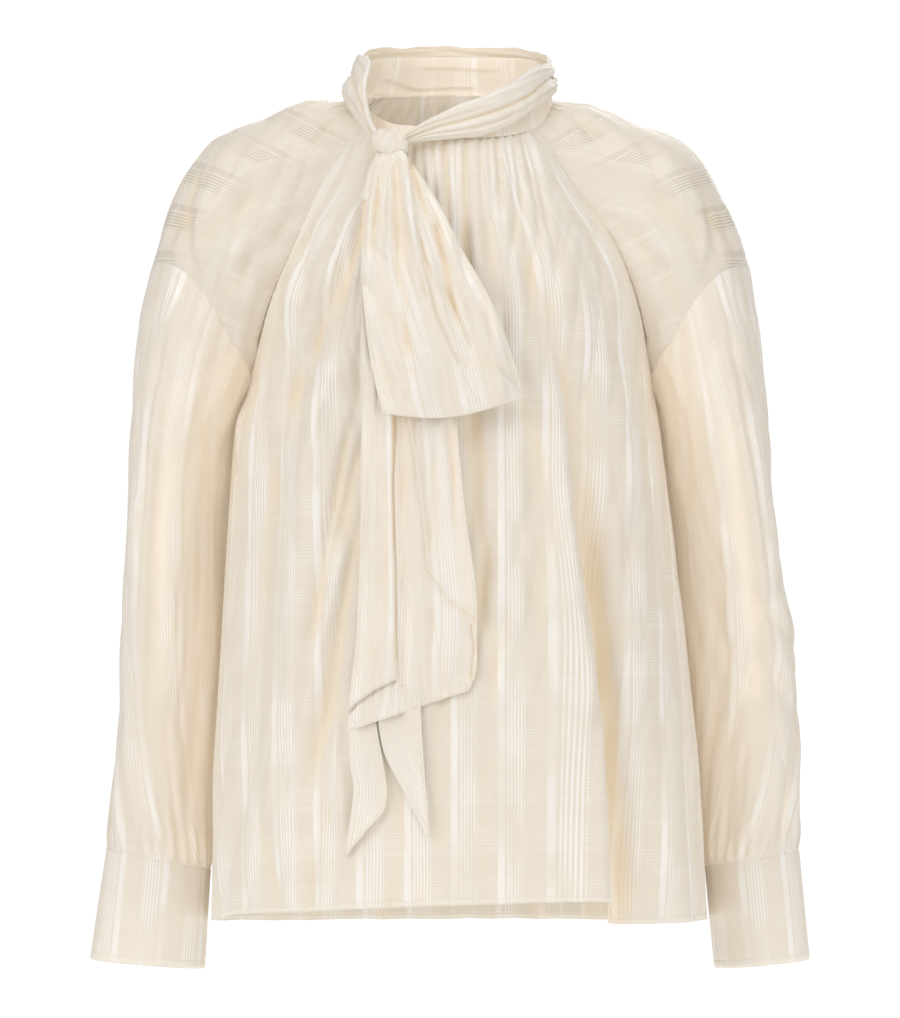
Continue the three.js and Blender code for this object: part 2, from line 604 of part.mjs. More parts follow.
function add(name, geometry, colour) {
  const material = new THREE.MeshStandardMaterial({ color: colour, roughness: ROUGHNESS, metalness: 0 });
  const mesh = new THREE.Mesh(geometry, material);
  mesh.name = name;
  blouse.add(mesh);
}

// Front and back, from the neck seam between the raglan and side seams down to the hem
const RAGLAN_STEPS = 10;
const SIDE_HALF = 180; // middling half width of the body, by which the back's side seams are set in
const BODY_STEPS = 11;
for (const [name, face, fine, plain] of [
  ["front", -1, 69, 39],
  ["back", 1, 41, 21],
]) {
  const place = (r) => r * 2;
  const shrink = face > 0 ? 1 - SEAM_GAP / SIDE_HALF : 1;
  const surface = (c, r) => panelPoint(face, (2 * c - 1) * (r >= 0.5 ? shrink : 1), place(r));
  const rows = [
    ...evenRows(0, RAGLAN_END / 2, RAGLAN_STEPS, plain),
    { place: RAGLAN_END / 2, columns: plain },
    ...evenRows(0.5, 1, BODY_STEPS, plain, true),
  ];
  for (const row of rows.slice(0, 3)) row.columns = fine;
  const geometry = clothWall({
    surface,
    relief: (c, r) => panelRelief(face, 2 * c - 1, place(r)),
    inside: (c, r) => vec(surface(c, r).x * 0.4, 5, surface(c, r).z - 20),
    rows,
    around: false,
  });
  add(name, geometry, COLOURS.body);
}

// Raglan shoulders, sleeves and cuffs on each side
for (const side of ["left", "right"]) {
  const sleeve = SLEEVES[side];
  const cuff = [{ ...sleeve.at(-1) }, CUFF_ENDS[side]];
  const top = sleeve[0].drop;
  const bottom = sleeve.at(-1).drop;

  const shoulder = (c, r) => shoulderPoint(side, c, r);
  const armCore = armCentre(sleeve, side, top);
  const shoulderEdge = (c, r) => {
    const point = shoulder(c, r);
    if (r === 1) return armInward(sleeve, side, point, top);
    if (c > 0 && c < 1) return null;
    const face = c === 0 ? -1 : 1;
    const s = side === "left" ? -1 : 1;
    const body = panelOutward(face, s, r * RAGLAN_END).negate();
    return body.lerp(armInward(sleeve, side, point, top), ease((r - 0.5) / 0.5)).normalize();
  };
  const shoulderCore = (c, r) => {
    const under = vec(0, 0, -SHOULDER_CORE_DROP * (1 - r));
    return shoulder(0.5, r).lerp(armCore, mix(0.35, 1, r)).add(under);
  };
  add(
    `shoulder_${side}`,
    clothWall({
      surface: shoulder,
      inside: shoulderCore,
      rows: evenRows(0, 1, RAGLAN_STEPS, SLEEVE_COLUMNS - 1, true),
      around: false,
      edge: shoulderEdge,
    }),
    COLOURS.body,
  );

  const dropAt = (r) => mix(top, bottom, r);
  const sleeveSurface = (c, r) => {
    const gap = vec(0, 0, -SLANTED_SEAM_DROP * (1 - r));
    return armPoint(sleeve, side, c, dropAt(r)).add(gap);
  };
  const sleeveRows = [
    ...evenRows(0, 0.9, 12, SLEEVE_COLUMNS),
    { place: 0.93, columns: GATHERED_COLUMNS },
    { place: 0.97, columns: GATHERED_COLUMNS },
    { place: 1, columns: GATHERED_COLUMNS },
  ];
  add(
    `sleeve_${side}`,
    clothWall({
      surface: sleeveSurface,
      relief: (c, r) => sleeveRelief(c, dropAt(r)),
      inside: (c, r) => armCentre(sleeve, side, dropAt(r)),
      rows: sleeveRows,
      around: true,
      edge: (c, r) => armInward(sleeve, side, sleeveSurface(c, r), dropAt(r)),
    }),
    COLOURS.body,
  );

  const cuffDrop = (r) => mix(bottom, CUFF_ENDS[side].drop, r);
  const cuffSurface = (c, r) => armPoint(cuff, side, c, cuffDrop(r)).add(vec(0, 0, -SEAM_GAP));
  add(
    `cuff_${side}`,
    clothWall({
      surface: cuffSurface,
      inside: (c, r) => armCentre(cuff, side, cuffDrop(r)),
      rows: evenRows(0, 1, 2, 32, true),
      around: true,
      edge: (c, r) => armInward(cuff, side, cuffSurface(c, r), cuffDrop(r)),
    }),
    COLOURS.body,
  );
}

// Neckband, standing on the neck seam and leaning in a little
const BAND_LIFT = 0.45;
const bandHeight = (angle) => along(NECK_LINE, "angle", Math.abs(((angle + 540) % 360) - 180), "band");
const bandPoint = (c, r) =>
  neckRing(c * 360, -NECK.lean * r).add(vec(0, 0, BAND_LIFT + bandHeight(c * 360) * r));
add(
  "neckband",
  clothWall({
    surface: bandPoint,
    inside: (c, r) => vec(0, NECK.middle, bandPoint(c, r).z),
    rows: [{ place: 0, columns: 52 }, { place: 1, columns: 52 }],
    around: true,
    edge: (c, r) => vec(-bandPoint(c, r).x, NECK.middle - bandPoint(c, r).y, 0).normalize(),
  }),
  COLOURS.shade,
);

// Scarf wound round the neck: rings of points round its folded section
const SCARF_OUTSIDE = 9;
const SCARF_INSIDE = 4;

function scarfRing(row, crease) {
  const ring = [];
  for (let k = 0; k <= SCARF_OUTSIDE; k += 1) {
    const height = k / SCARF_OUTSIDE;
    const round = (1 - (2 * height - 1) ** 4) ** 0.5;
    const pinch = crease * Math.exp(-(((height - 0.52) / 0.12) ** 2));
    ring.push([row.gap + 0.6 + (SCARF_FOLDED - 0.6) * round * (1 - pinch), mix(row.low, row.high, height)]);
  }
  for (let k = SCARF_INSIDE; k >= 0; k -= 1) {
    ring.push([row.gap, mix(row.low, row.high, k / SCARF_INSIDE)]);
  }
  return ring.map(([reach, drop]) => {
    const point = neckRing(row.angle, reach);
    point.z = -drop;
    return point;
  });
}

for (const [name, table, stations, crease] of [
  ["scarf_back", SCARF_BACK, 24, 0.3],
  ["scarf_front", SCARF_FRONT, 16, 0.55],
  ["scarf_left", SCARF_LEFT, 11, 0.4],
]) {
  const from = table[0].angle;
  const to = table.at(-1).angle;
  const rings = Array.from({ length: stations + 1 }, (_, k) => {
    const angle = mix(from, to, k / stations);
    const value = (column) => along(table, "angle", angle, column);
    return scarfRing({ angle, low: value("low"), high: value("high"), gap: value("gap") }, crease);
  });
  add(name, ringSolid(rings), COLOURS.scarf);
}

// Knot, a rounded turn of the scarf
const knot = new THREE.SphereGeometry(1, 16, 10);
const knotPoints = knot.getAttribute("position");
for (let k = 0; k < knotPoints.count; k += 1) {
  const point = new THREE.Vector3().fromBufferAttribute(knotPoints, k);
  const size = ["x", "y", "z"].reduce((sum, axis) => sum + Math.abs(point[axis]) ** KNOT.power, 0);
  point.multiplyScalar(size ** (-1 / KNOT.power));
  knotPoints.setXYZ(k, point.x, point.y, point.z);
}
knot.scale(KNOT.halfWidth, KNOT.halfDepth, KNOT.halfHeight);
knot.translate(KNOT.across, KNOT.lie, -KNOT.drop);
add("knot", knot, COLOURS.scarf);

// Bow loop, tail and its hanging tips: strips that lie in front of the front panel
function stripPoint(table, c, r, out) {
  const value = (column) => along(table, "along", r, column);
  const across = mix(value("left"), value("right"), c);
  const drop = mix(value("leftDrop"), value("rightDrop"), c);
  return vec(across, frontFace(across, Math.max(drop, 60)) - out, -drop);
}

const loopPoint = (c, r) => {
  const out = along(LOOP, "along", r, "out");
  const belly = 2.5 * Math.sin(Math.PI * c) * Math.sin(Math.PI * 2 * r);
  return stripPoint(LOOP, c, r, out + belly);
};
add(
  "bow_loop",
  clothWall({
    surface: loopPoint,
    inside: (c, r) => {
      const point = stripPoint(LOOP, c, r, 17);
      point.z += 6;
      return point;
    },
    rows: [
      ...evenRows(0, 0.44, 9, 11),
      ...evenRows(0.44, 0.56, 6, 11),
      ...evenRows(0.56, 1, 8, 11, true),
    ],
    around: false,
    thickness: SCARF_WALL,
  }),
  COLOURS.scarf,
);

const tailPoint = (c, r) => {
  const fold = TAIL_FOLD * ease(r * 6) * Math.cos(2 * Math.PI * (1.9 * c + 0.1));
  return stripPoint(TAIL, c, r, along(TAIL, "along", r, "out") + fold);
};
add(
  "tail",
  clothWall({
    surface: tailPoint,
    inside: (c, r) => tailPoint(c, r).add(vec(0, 10, 0)),
    rows: evenRows(0, 1, 17, 14, true),
    around: false,
    thickness: SCARF_WALL,
  }),
  COLOURS.scarf,
);

for (const [name, table] of [
  ["tail_tip_left", TIP_LEFT],
  ["tail_tip_right", TIP_RIGHT],
]) {
  const tipPoint = (c, r) => stripPoint(table, c, r, TIP_OUT);
  add(
    name,
    clothWall({
      surface: tipPoint,
      inside: (c, r) => tipPoint(c, r).add(vec(0, 10, 0)),
      rows: evenRows(0, 1, 7, 7, true),
      around: false,
      thickness: SCARF_WALL,
    }),
    COLOURS.scarf,
  );
}

export default blouse;
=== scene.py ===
import bpy
import mathutils
import numpy as np
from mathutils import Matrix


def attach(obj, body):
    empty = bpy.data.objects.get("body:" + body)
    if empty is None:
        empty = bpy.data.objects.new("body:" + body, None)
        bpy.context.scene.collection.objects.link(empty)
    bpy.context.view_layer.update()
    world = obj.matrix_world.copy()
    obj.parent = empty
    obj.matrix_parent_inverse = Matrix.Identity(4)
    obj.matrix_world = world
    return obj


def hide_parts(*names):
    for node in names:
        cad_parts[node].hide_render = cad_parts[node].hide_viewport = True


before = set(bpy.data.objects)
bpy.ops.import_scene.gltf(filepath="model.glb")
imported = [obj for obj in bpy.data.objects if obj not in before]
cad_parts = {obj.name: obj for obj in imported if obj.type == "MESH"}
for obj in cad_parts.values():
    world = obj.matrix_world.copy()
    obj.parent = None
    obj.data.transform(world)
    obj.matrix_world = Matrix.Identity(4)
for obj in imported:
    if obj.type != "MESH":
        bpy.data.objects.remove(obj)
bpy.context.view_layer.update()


# Front: one piece of sheer crepe with satin stripes woven along and across it. Its top edge is gathered
# onto the neckband, its sides are sewn to the raglan shoulders and to the back, and it hangs in soft
# folds, one of them deep, down to a narrow rolled hem.
MM = 0.001
CLOTH_THICK = 0.7
ALLOWANCE = {"width": 3.0, "sink": 1.3}
OVAL_POWER = 2.2
UNDERARM_DROP = 225
RAGLAN_END = 0.985
FRONT_TOP = {"middle": 36, "seam": 24}
NECK_REACH = 0.35
HEM_STITCHES = 4.5
# Slow waves and soft creases over a piece, each with its rise, its size and its seed
FRONT_WAVES = ((1.1, 46, 3), (2.1, 25, 17))
FRONT_CREASE_SHARE = 1.25
# Fullness at the gathers: how much wider the cloth is there, at which drop, and how far that reaches
FRONT_FULLNESS = {"share": 0.75, "drop": 30, "reach": 70}
EASE_LENGTH = 90
FOLD_TRAVEL = 620
# Depth of relief, in millimetres, that gets the full painted shade and glow
BODY_FULL_SHADE = 4.5
NO_EDGE = 1000.0


def table(columns, *rows):
    """Short table with named columns, each an array."""
    return dict(zip(columns.split(), np.array(rows, float).T))


FRONT_SECTIONS = table(
    "drop left right angle depth",
    (-12, 60, 54, 58, 56), (24, 71, 63, 58, 66), (40, 82, 78, 58, 79), (71, 102, 99, 60, 97),
    (117, 123, 131, 63, 112), (164, 143, 149, 69, 122), (195, 152, 156, 77, 126),
    (222, 159.4, 161.4, 84.6, 129), (225, 160, 162, 85.4, 129), (264, 172, 168, 89, 132),
    (345, 178, 178, 90, 138), (430, 183, 188, 90, 143), (544, 189, 200, 90, 151), (665, 191, 206, 90, 159),
)
MIDDLE_LINE = table("drop lie", (-12, -2), (24, 0), (40, 2), (71, 4), (117, 5), (665, 5))
HEM = table(
    "angle drop",
    (-180, 664), (-120, 661), (-84, 655), (-70, 651), (-58, 646), (-38, 642), (0, 635), (24, 633),
    (31, 634), (37, 650), (46, 652), (84, 654), (120, 660), (180, 664),
)
NECK_SEAM = table(
    "angle drop band",
    (0, 36, 9), (30, 33, 9), (55, 26, 14), (80, 8, 24), (105, 0, 30), (135, -4, 32), (180, -6, 32),
)
NECK_OVAL = {"half": 82.5, "front": 73, "back": 62, "middle": -2}
RAGLAN_ANGLE = {-1: 59.4, 1: 50.8, "back": 135}

# Largest folds: place round the body at the top and the hem, reach down it, width in degrees, rise
BODY_FOLDS = table(
    "top hem start end width rise",
    (3, 10, 44, 330, 3.4, -4), (14, 26, 50, 420, 4.5, -5), (9, 18, 60, 700, 6, 4),
    (28, 44, 60, 700, 6, -6), (26, 27, 290, 760, 6, 9), (34, 39, 290, 760, 5, -15),
    (50, 60, 160, 760, 7, 5), (-44, -62, 70, 480, 5, -6), (-30, -48, 90, 620, 6, 5),
    (-12, -36, 250, 560, 4, -7), (-26, -22, 430, 760, 7, 5), (-62, -66, 330, 760, 8, 4),
    (180, 176, 40, 760, 9, 6), (152, 146, 60, 760, 7, -6), (-150, -142, 80, 760, 8, -6),
    (128, 118, 260, 760, 9, 6), (-126, -116, 300, 760, 9, 6),
)
# Finer creases of the front, each from a place to a place as seen from the front, bowed sideways
FRONT_CREASES = table(
    "x0 drop0 x1 drop1 bow width rise",
    (-36, 30, -52, 118, 2, 2.6, -2.2), (-30, 30, -34, 112, 1, 2.2, -2), (-22, 28, -21, 104, 0, 2.2, -2),
    (-15, 28, -11, 108, 0, 2.2, -2.2), (-5.5, 28, 0.8, 136, 0, 2.4, -3.2), (3, 28, 8, 84, 0, 2, -1.6),
    (11.7, 28, 15.6, 190, -1, 2.6, -3.8), (23.4, 28, 27, 112, 0, 2.2, -2.2),
    (30, 28, 34, 92, 0, 2.2, -1.6), (36.6, 26, 43, 132, 0, 2.4, -2.4), (43, 26, 54, 118, 1, 2.2, -1.8),
    (49, 24, 64, 150, 1, 2.6, -2.4), (54, 22, 74, 128, 2, 2.4, -1.8), (58, 20, 88, 170, 3, 3, -1.8),
    (-46, 26, -74, 150, 4, 3, -2.4), (-52, 24, -98, 190, 6, 3.4, -3), (-58, 22, -112, 236, 8, 3.4, -2.6),
    (-60, 60, -128, 330, 12, 4.5, 2.6), (-44, 60, -92, 250, 8, 5, 2.2),
    (-66, 262, -118, 470, -3, 5, -3.4), (-58, 270, -108, 480, -3, 6, 2.2), (40, 120, 62, 420, 2, 7, 2.4),
    (26, 150, 40, 380, 0, 6, -2), (74, 160, 96, 420, 4, 6, 2.6), (104, 200, 126, 520, 5, 7, -2.4),
    (-20, 300, -14, 650, 3, 8, -1.8), (8, 330, 16, 660, -3, 8, 2), (46, 420, 54, 670, 2, 9, -1.8),
    (-120, 380, -130, 670, 3, 8, 2.2), (-96, 450, -98, 670, 3, 7, -1.8), (150, 330, 172, 640, 4, 7, -2.6),
    (130, 420, 150, 660, 4, 7, 2.4), (16, 238, 34, 500, 1, 10, -4.5), (44, 236, 52, 330, 0, 11, -3.5),
    (-78, 255, -112, 452, -3, 3.2, -4), (-86, 470, -72, 600, 0, 6, -2.4),
)
# The deep fold: its edge leans right over the valley beside it
DEEP_FOLD = {"top": 26, "hem": 28.5, "start": 300, "end": 760, "width": 5.5, "lean": 15}


def along(values, key, place, column):
    """Value between a table's rows: a cubic curve through them whose slope at a row is the harmonic mean
    of the slopes on both sides, and none where the values turn back."""
    x, y = values[key], values[column]
    chord = np.diff(y) / np.diff(x)
    before = np.concatenate([chord[:1], chord])
    after = np.concatenate([chord, chord[-1:]])
    same_way = before * after > 0
    slope = np.where(same_way, 2 * before * after / np.where(same_way, before + after, 1), 0)
    place = np.asarray(place, float)
    row = np.clip(np.searchsorted(x, place, side="right") - 1, 0, len(x) - 2)
    step = x[row + 1] - x[row]
    t = np.clip((place - x[row]) / step, 0, 1)
    curved = slope[row] * (t - 2 * t**2 + t**3) + slope[row + 1] * (t**3 - t**2)
    return y[row] + (y[row + 1] - y[row]) * (3 * t**2 - 2 * t**3) + step * curved


def ease(value):
    """Smooth step from 0 to 1: three squares less two cubes."""
    t = np.clip(value, 0, 1)
    return t * t * (3 - 2 * t)


def span(place, start, end, rise, fall):
    """1 between two places, eased in from the first over the rise and out to the second over the fall."""
    return ease((place - start) / rise) * ease((end - place) / fall)


def hump(apart, power=2):
    """Rounded hump: e to the minus of the distance, counted in its widths, to a power."""
    return np.exp(-(np.abs(apart) ** power))


def mix(start, end, share):
    """Straight change from start to end."""
    return start + (end - start) * share


def grid(across, *down):
    """Grid of places: each part is evenly spaced from a start to an end, with its number of places."""
    return np.meshgrid(np.linspace(*across), np.concatenate([np.linspace(*part) for part in down]))


def xyz(x, y, z):
    """Points from their three coordinates, each a number or an array."""
    return np.stack(np.broadcast_arrays(x, y, z), axis=-1).astype(float)


def neck_seam(angle, grow=0):
    """Neck seam: an oval with a deeper half in front, at its own drop for each angle from the front."""
    turned = np.abs((angle + 540) % 360 - 180)
    cos = np.cos(np.radians(angle))
    depth = np.where(cos > 0, NECK_OVAL["front"], NECK_OVAL["back"])
    across = (NECK_OVAL["half"] + grow) * np.sin(np.radians(angle))
    return xyz(across, NECK_OVAL["middle"] - (depth + grow) * cos, -along(NECK_SEAM, "angle", turned, "drop"))


def seam_half(sections, side, drop):
    """Half width of the body's oval: out to the side seam, or past the raglan seam to where the oval ends."""
    seam = np.where(side < 0, along(sections, "drop", drop, "left"), along(sections, "drop", drop, "right"))
    angle = np.radians(along(sections, "drop", drop, "angle"))
    return np.where(drop < UNDERARM_DROP, seam / np.sin(angle) ** (2 / OVAL_POWER), seam)


def oval(sections, face, side, drop, angle):
    """Flattened oval: across goes with the sine, and fore and aft with the cosine, to the power 2 / 2.2."""
    power = 2 / OVAL_POWER
    depth = along(sections, "drop", drop, "depth")
    across = side * seam_half(sections, side, drop) * np.sin(np.abs(angle)) ** power
    fore_aft = face * depth * np.clip(np.cos(angle), 0, 1) ** power
    return xyz(across, along(MIDDLE_LINE, "drop", drop, "lie") + fore_aft, -drop)


def round_body(face, s):
    """Angle round the body of a panel's place s: 0 at the middle of the front, minus on the left."""
    angle = s * 90 if face < 0 else 180 - s * 90
    return np.where(angle > 180, angle - 360, angle)


def panel(face, sections, top, s, level):
    """Body panel: s from the left seam at -1 to the right at 1, level from the neck at 0 by the underarm
    at 1 to the hem at 2. Each level is an oval, and the top is drawn onto the neck seam."""
    side = np.where(s < 0, -1, 1)
    edge = np.abs(s)
    start = mix(top["middle"], top["seam"], s * s)
    hem = along(HEM, "angle", round_body(face, s), "drop")
    drop = np.where(level > 1, mix(UNDERARM_DROP, hem, level - 1), mix(start, UNDERARM_DROP, level))
    spread = along(sections, "drop", np.maximum(drop, top["seam"]), "angle")
    seam_angle = np.where(level < 1, spread, 90)
    angle = np.radians(spread * edge + (seam_angle - spread) * edge**10)
    point = oval(sections, face, side, drop, angle)
    fade = np.clip(1 - level / NECK_REACH, 0, 1) ** 2
    raglan = np.where(side < 0, RAGLAN_ANGLE[-1], RAGLAN_ANGLE[1])
    ring_angle = s * raglan if face < 0 else 180 - s * (180 - RAGLAN_ANGLE["back"])
    top_angle = np.radians(along(sections, "drop", top["seam"], "angle"))
    top_point = oval(sections, face, side, start, edge * top_angle)
    return point + (neck_seam(ring_angle) - top_point) * fade[..., None]


def body_folds(folds, round_angle, drop, s):
    """Sum of the large folds: each a smooth hump round the body that moves from its top place to its hem
    place, eased in and out along its length, and none at the seams."""
    travelled = np.clip((drop - FRONT_TOP["middle"]) / FOLD_TRAVEL, 0, 1)[..., None]
    centre = mix(folds["top"], folds["hem"], travelled)
    apart = np.abs((round_angle[..., None] - centre + 540) % 360 - 180) / folds["width"]
    reach = span(drop[..., None], folds["start"], folds["end"], EASE_LENGTH, EASE_LENGTH)
    return (folds["rise"] * hump(apart) * reach).sum(-1) * (1 - s**8)


def creases(marks, across, drop):
    """Sum of creases seen from the front: each follows a bowed line between two places, with a narrow
    rounded section, and eases in and out at its ends."""
    total = np.zeros(np.shape(across))
    for k in range(len(marks["rise"])):
        t = (drop - marks["drop0"][k]) / (marks["drop1"][k] - marks["drop0"][k])
        held = np.clip(t, 0, 1)
        line = mix(marks["x0"][k], marks["x1"][k], held) + 4 * marks["bow"][k] * held * (1 - held)
        total += marks["rise"][k] * hump((across - line) / marks["width"][k], 1.7) * span(t, 0, 1, 0.12, 0.5)
    return total


def crumple(u, v, size, seed):
    """Slight uneven waves of the cloth: a sum of sines in fixed directions, one unit high."""
    dice = np.random.default_rng(seed)
    total = np.zeros(np.shape(u))
    for _ in range(7):
        lean, phase, stretch = dice.uniform(-0.5, 0.5), dice.uniform(0, 6.3), dice.uniform(0.6, 1.6)
        wave = (u * np.cos(lean) + v * np.sin(lean) * 0.5) / (size * stretch)
        total += np.sin(2 * np.pi * wave + phase + 1.3 * np.sin(v / (2.2 * size) + phase)) / 7
    return total


def soft_creases(u, v, size, seed, sharp=0.75):
    """Creases of thin cloth that run mostly lengthwise: rounded ridges with narrow troughs, which are
    the size of a sine to a power less than one, each set at its own lean, bent by slow sines and
    fading in and out along its way. Their sum is about one unit high."""
    dice = np.random.default_rng(seed)
    total = np.zeros(np.shape(u))
    for _ in range(5):
        lean, stretch, phase, other = dice.uniform((-0.32, 0.7, 0, 0), (0.32, 1.7, 6.3, 6.3))
        way = u * np.cos(lean) + v * np.sin(lean)
        bend = 0.5 * np.sin(v / (3.1 * size) + phase)
        bend = bend + 0.22 * np.sin(v / (1.3 * size) + u / (4 * size) + other)
        ridge = np.abs(np.sin(np.pi * way / (size * stretch) + bend + other)) ** sharp
        swing = v / (2.6 * size * stretch) + 1.7 * np.sin(u / (3 * size) + phase) + other
        total += (ridge - 0.7) * ease(0.5 + 0.9 * np.sin(swing))
    return total


def uneven(u, v, waves, shift=0):
    """Slow waves and soft creases together, from their rises, sizes and seeds."""
    (rise, size, seed), (crease_rise, crease_size, crease_seed) = waves
    slow = rise * crumple(u, v, size, seed + shift)
    return slow + crease_rise * soft_creases(u, v, crease_size, crease_seed + shift)


def smoothed(values, reach):
    """Mean of a grid over a window of columns and then of rows."""
    window = np.ones(2 * reach + 1) / (2 * reach + 1)
    for axis in (0, 1):
        wide = np.pad(values, [(reach, reach) if k == axis else (0, 0) for k in (0, 1)], mode="edge")
        values = np.apply_along_axis(np.convolve, axis, wide, window, mode="valid")
    return values


def slopes(points, tube=False):
    """Differences of a grid along its columns and its rows, closed round a tube."""
    if tube:
        ring = points[:, :-1]
        round_tube = (np.roll(ring, -1, axis=1) - np.roll(ring, 1, axis=1)) / 2
        return np.concatenate([round_tube, round_tube[:, :1]], axis=1), np.gradient(points, axis=0)
    return np.gradient(points, axis=1), np.gradient(points, axis=0)


def unit(vectors):
    """Vectors made one long."""
    return vectors / (np.linalg.norm(vectors, axis=-1, keepdims=True) + 1e-12)


def outward(points, core, tube=False):
    """Unit normals of a grid: the cross product of its two directions, on the side away from the core."""
    across, down = slopes(points, tube)
    normal = unit(np.cross(across, down))
    return normal * np.sign((normal * (points - core)).sum(-1).mean())


def lengths(points):
    """Distances between neighbours of a grid, added up along its columns and along its rows."""
    across = np.linalg.norm(np.diff(points, axis=1), axis=-1)
    down = np.linalg.norm(np.diff(points, axis=0), axis=-1)
    u = np.concatenate([np.zeros((len(points), 1)), np.cumsum(across, axis=1)], axis=1)
    v = np.concatenate([np.zeros((1, points.shape[1])), np.cumsum(down, axis=0)], axis=0)
    return u, v


def turned_in(points, normal, grids, side):
    """Adds a seam allowance on one side of a grid: a row that goes on past the edge by its width and
    sinks under the surface by its depth. The other grids go on with their last values."""
    axis, last = (0, side == "bottom") if side in ("top", "bottom") else (1, side == "right")
    outer, next_in = (-1, -2) if last else (0, 1)
    edge = np.take(points, [outer], axis)
    beyond = unit(edge - np.take(points, [next_in], axis))
    sunk = edge + ALLOWANCE["width"] * beyond - ALLOWANCE["sink"] * np.take(normal, [outer], axis)
    rows = [sunk] + [np.take(whole, [outer], axis) for whole in grids]
    pairs = zip([points] + grids, rows)
    return [np.concatenate((whole, row) if last else (row, whole), axis) for whole, row in pairs]


def cloth(node, points, normal, u, v, material, painted_shade_depth=None, edge=None, tube=False, thick=CLOTH_THICK,
          seams=""):
    """Piece of cloth: a grid of points in millimetres, with the cloth's own coordinates u and v in
    millimetres, the depth of its painted shade and glow in the hollows, and the distance from its sewn
    edge for the stitches. A wall of the cloth's thickness lies inside it, and an allowance is turned in
    along its seams."""
    name = "blouse_" + node
    painted_shade_depth = np.zeros(u.shape) if painted_shade_depth is None else painted_shade_depth
    edge = np.full(u.shape, NO_EDGE) if edge is None else edge
    for side in seams.split():
        points, normal, u, v, painted_shade_depth, edge = turned_in(points, normal, [normal, u, v, painted_shade_depth, edge], side)
    rows, columns = points.shape[:2]
    kept = points[:, :-1] if tube else points
    index = np.arange(rows * kept.shape[1]).reshape(rows, kept.shape[1])
    if tube:
        index = np.concatenate([index, index[:, :1]], axis=1)
    ring = [(slice(None, -1), slice(None, -1)), (slice(1, None), slice(None, -1))]
    ring += [(slice(1, None), slice(1, None)), (slice(None, -1), slice(1, None))]
    across, down = slopes(points, tube)
    if (np.cross(down, across) * normal).sum() < 0:
        ring = ring[::-1]
    faces = np.stack([index[corner] for corner in ring], axis=-1).reshape(-1, 4)
    mesh = bpy.data.meshes.new(name)
    mesh.from_pydata((kept.reshape(-1, 3) * MM).tolist(), [], faces.tolist())
    flat = np.stack([u, v], axis=-1) * MM
    corners = np.stack([flat[corner] for corner in ring], axis=2).reshape(-1, 2)
    mesh.uv_layers.new(name="Cloth").data.foreach_set("uv", corners.astype(np.float32).ravel())
    # The painted shade and glow of the hollows is stored on the points, beside the distance from the edge
    for key, value in (("painted_shade_depth", painted_shade_depth), ("edge", edge * MM)):
        held = value[:, :-1] if tube else value
        layer = mesh.attributes.new(key, "FLOAT", "POINT")
        layer.data.foreach_set("value", held.astype(np.float32).ravel())
    mesh.polygons.foreach_set("use_smooth", np.ones(len(faces), bool))
    mesh.materials.append(material)
    mesh.update()
    piece = bpy.data.objects.new(name, mesh)
    bpy.context.scene.collection.objects.link(piece)
    wall = piece.modifiers.new("wall", "SOLIDIFY")
    wall.thickness = thick * MM
    wall.offset = -1
    return piece


def settle(piece, node):
    """Lets a piece ride on the blouse's root and hides the part in its node's place."""
    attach(piece, "root")
    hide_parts(node)


def connect(tree, node, values):
    """Fills a node's inputs, by title or number, each with a value or a link from another node."""
    for title, value in values.items():
        if isinstance(value, bpy.types.NodeSocket):
            tree.links.new(value, node.inputs[title])
        else:
            node.inputs[title].default_value = value
    return node.outputs


def number(tree, operation, *values):
    """Math node on numbers or on other nodes' outputs."""
    made = tree.nodes.new("ShaderNodeMath")
    made.operation = operation
    return connect(tree, made, dict(enumerate(values)))[0]


def product(tree, first, *others):
    """Product of numbers or of other nodes' outputs."""
    for value in others:
        first = number(tree, "MULTIPLY", first, value)
    return first


def fade(tree, value, low, high):
    """Smooth step of a value from 0 at low to 1 at high."""
    made = tree.nodes.new("ShaderNodeMapRange")
    made.interpolation_type = "SMOOTHSTEP"
    return connect(tree, made, {"Value": value, "From Min": low, "From Max": high})["Result"]


def blend(tree, share, *colours):
    """Colour between two, by a share."""
    made = tree.nodes.new("ShaderNodeMix")
    made.data_type = "RGBA"
    first, second = (c if isinstance(c, bpy.types.NodeSocket) else (*c, 1) for c in colours)
    return connect(tree, made, {0: share, 6: first, 7: second})[2]


def noise(tree, place, scale, detail, roughness=0.5):
    """Noise from 0 to 1 on a place, with its waves to a metre, its finer layers and their share."""
    made = tree.nodes.new("ShaderNodeTexNoise")
    values = {"Vector": place, "Scale": scale, "Detail": detail, "Roughness": roughness}
    return connect(tree, made, values)[0]


def painted(tree, key):
    """Value that each point of the piece holds under a name."""
    made = tree.nodes.new("ShaderNodeAttribute")
    made.attribute_name = key
    return made.outputs["Fac"]


def new_group(name, inputs, outputs):
    """Empty node group that starts from the cloth's own coordinates: itself, its inputs, the two
    coordinates and its output node."""
    group = bpy.data.node_groups.new(name, "ShaderNodeTree")
    group.interface.new_socket("Cloth", in_out="INPUT", socket_type="NodeSocketVector")
    for way, titles in (("INPUT", inputs), ("OUTPUT", outputs)):
        for title in titles:
            group.interface.new_socket(title, in_out=way, socket_type="NodeSocketFloat")
    start = group.nodes.new("NodeGroupInput").outputs
    parts = connect(group, group.nodes.new("ShaderNodeSeparateXYZ"), {0: start["Cloth"]})
    return group, start, parts, group.nodes.new("NodeGroupOutput")


def use_group(tree, group, values):
    """Outputs of a node group used in a material."""
    made = tree.nodes.new("ShaderNodeGroup")
    made.node_tree = group
    return connect(tree, made, values)


# Woven check, in metres: each band is a solid satin stripe with five thin satin lines beside it
BAND = {"solid": 0.0064, "first": 0.0082, "last": 0.0212, "pitch": 0.00255, "soft": 0.0014, "edge": 0.0005}
REPEAT_ACROSS = 0.0365
REPEAT_DOWN = 0.0385
STRIPE_SHARE = {"along": 0.8, "across": 0.55}
THREAD_HEIGHT = {"along": 0.05, "across": 0.04}
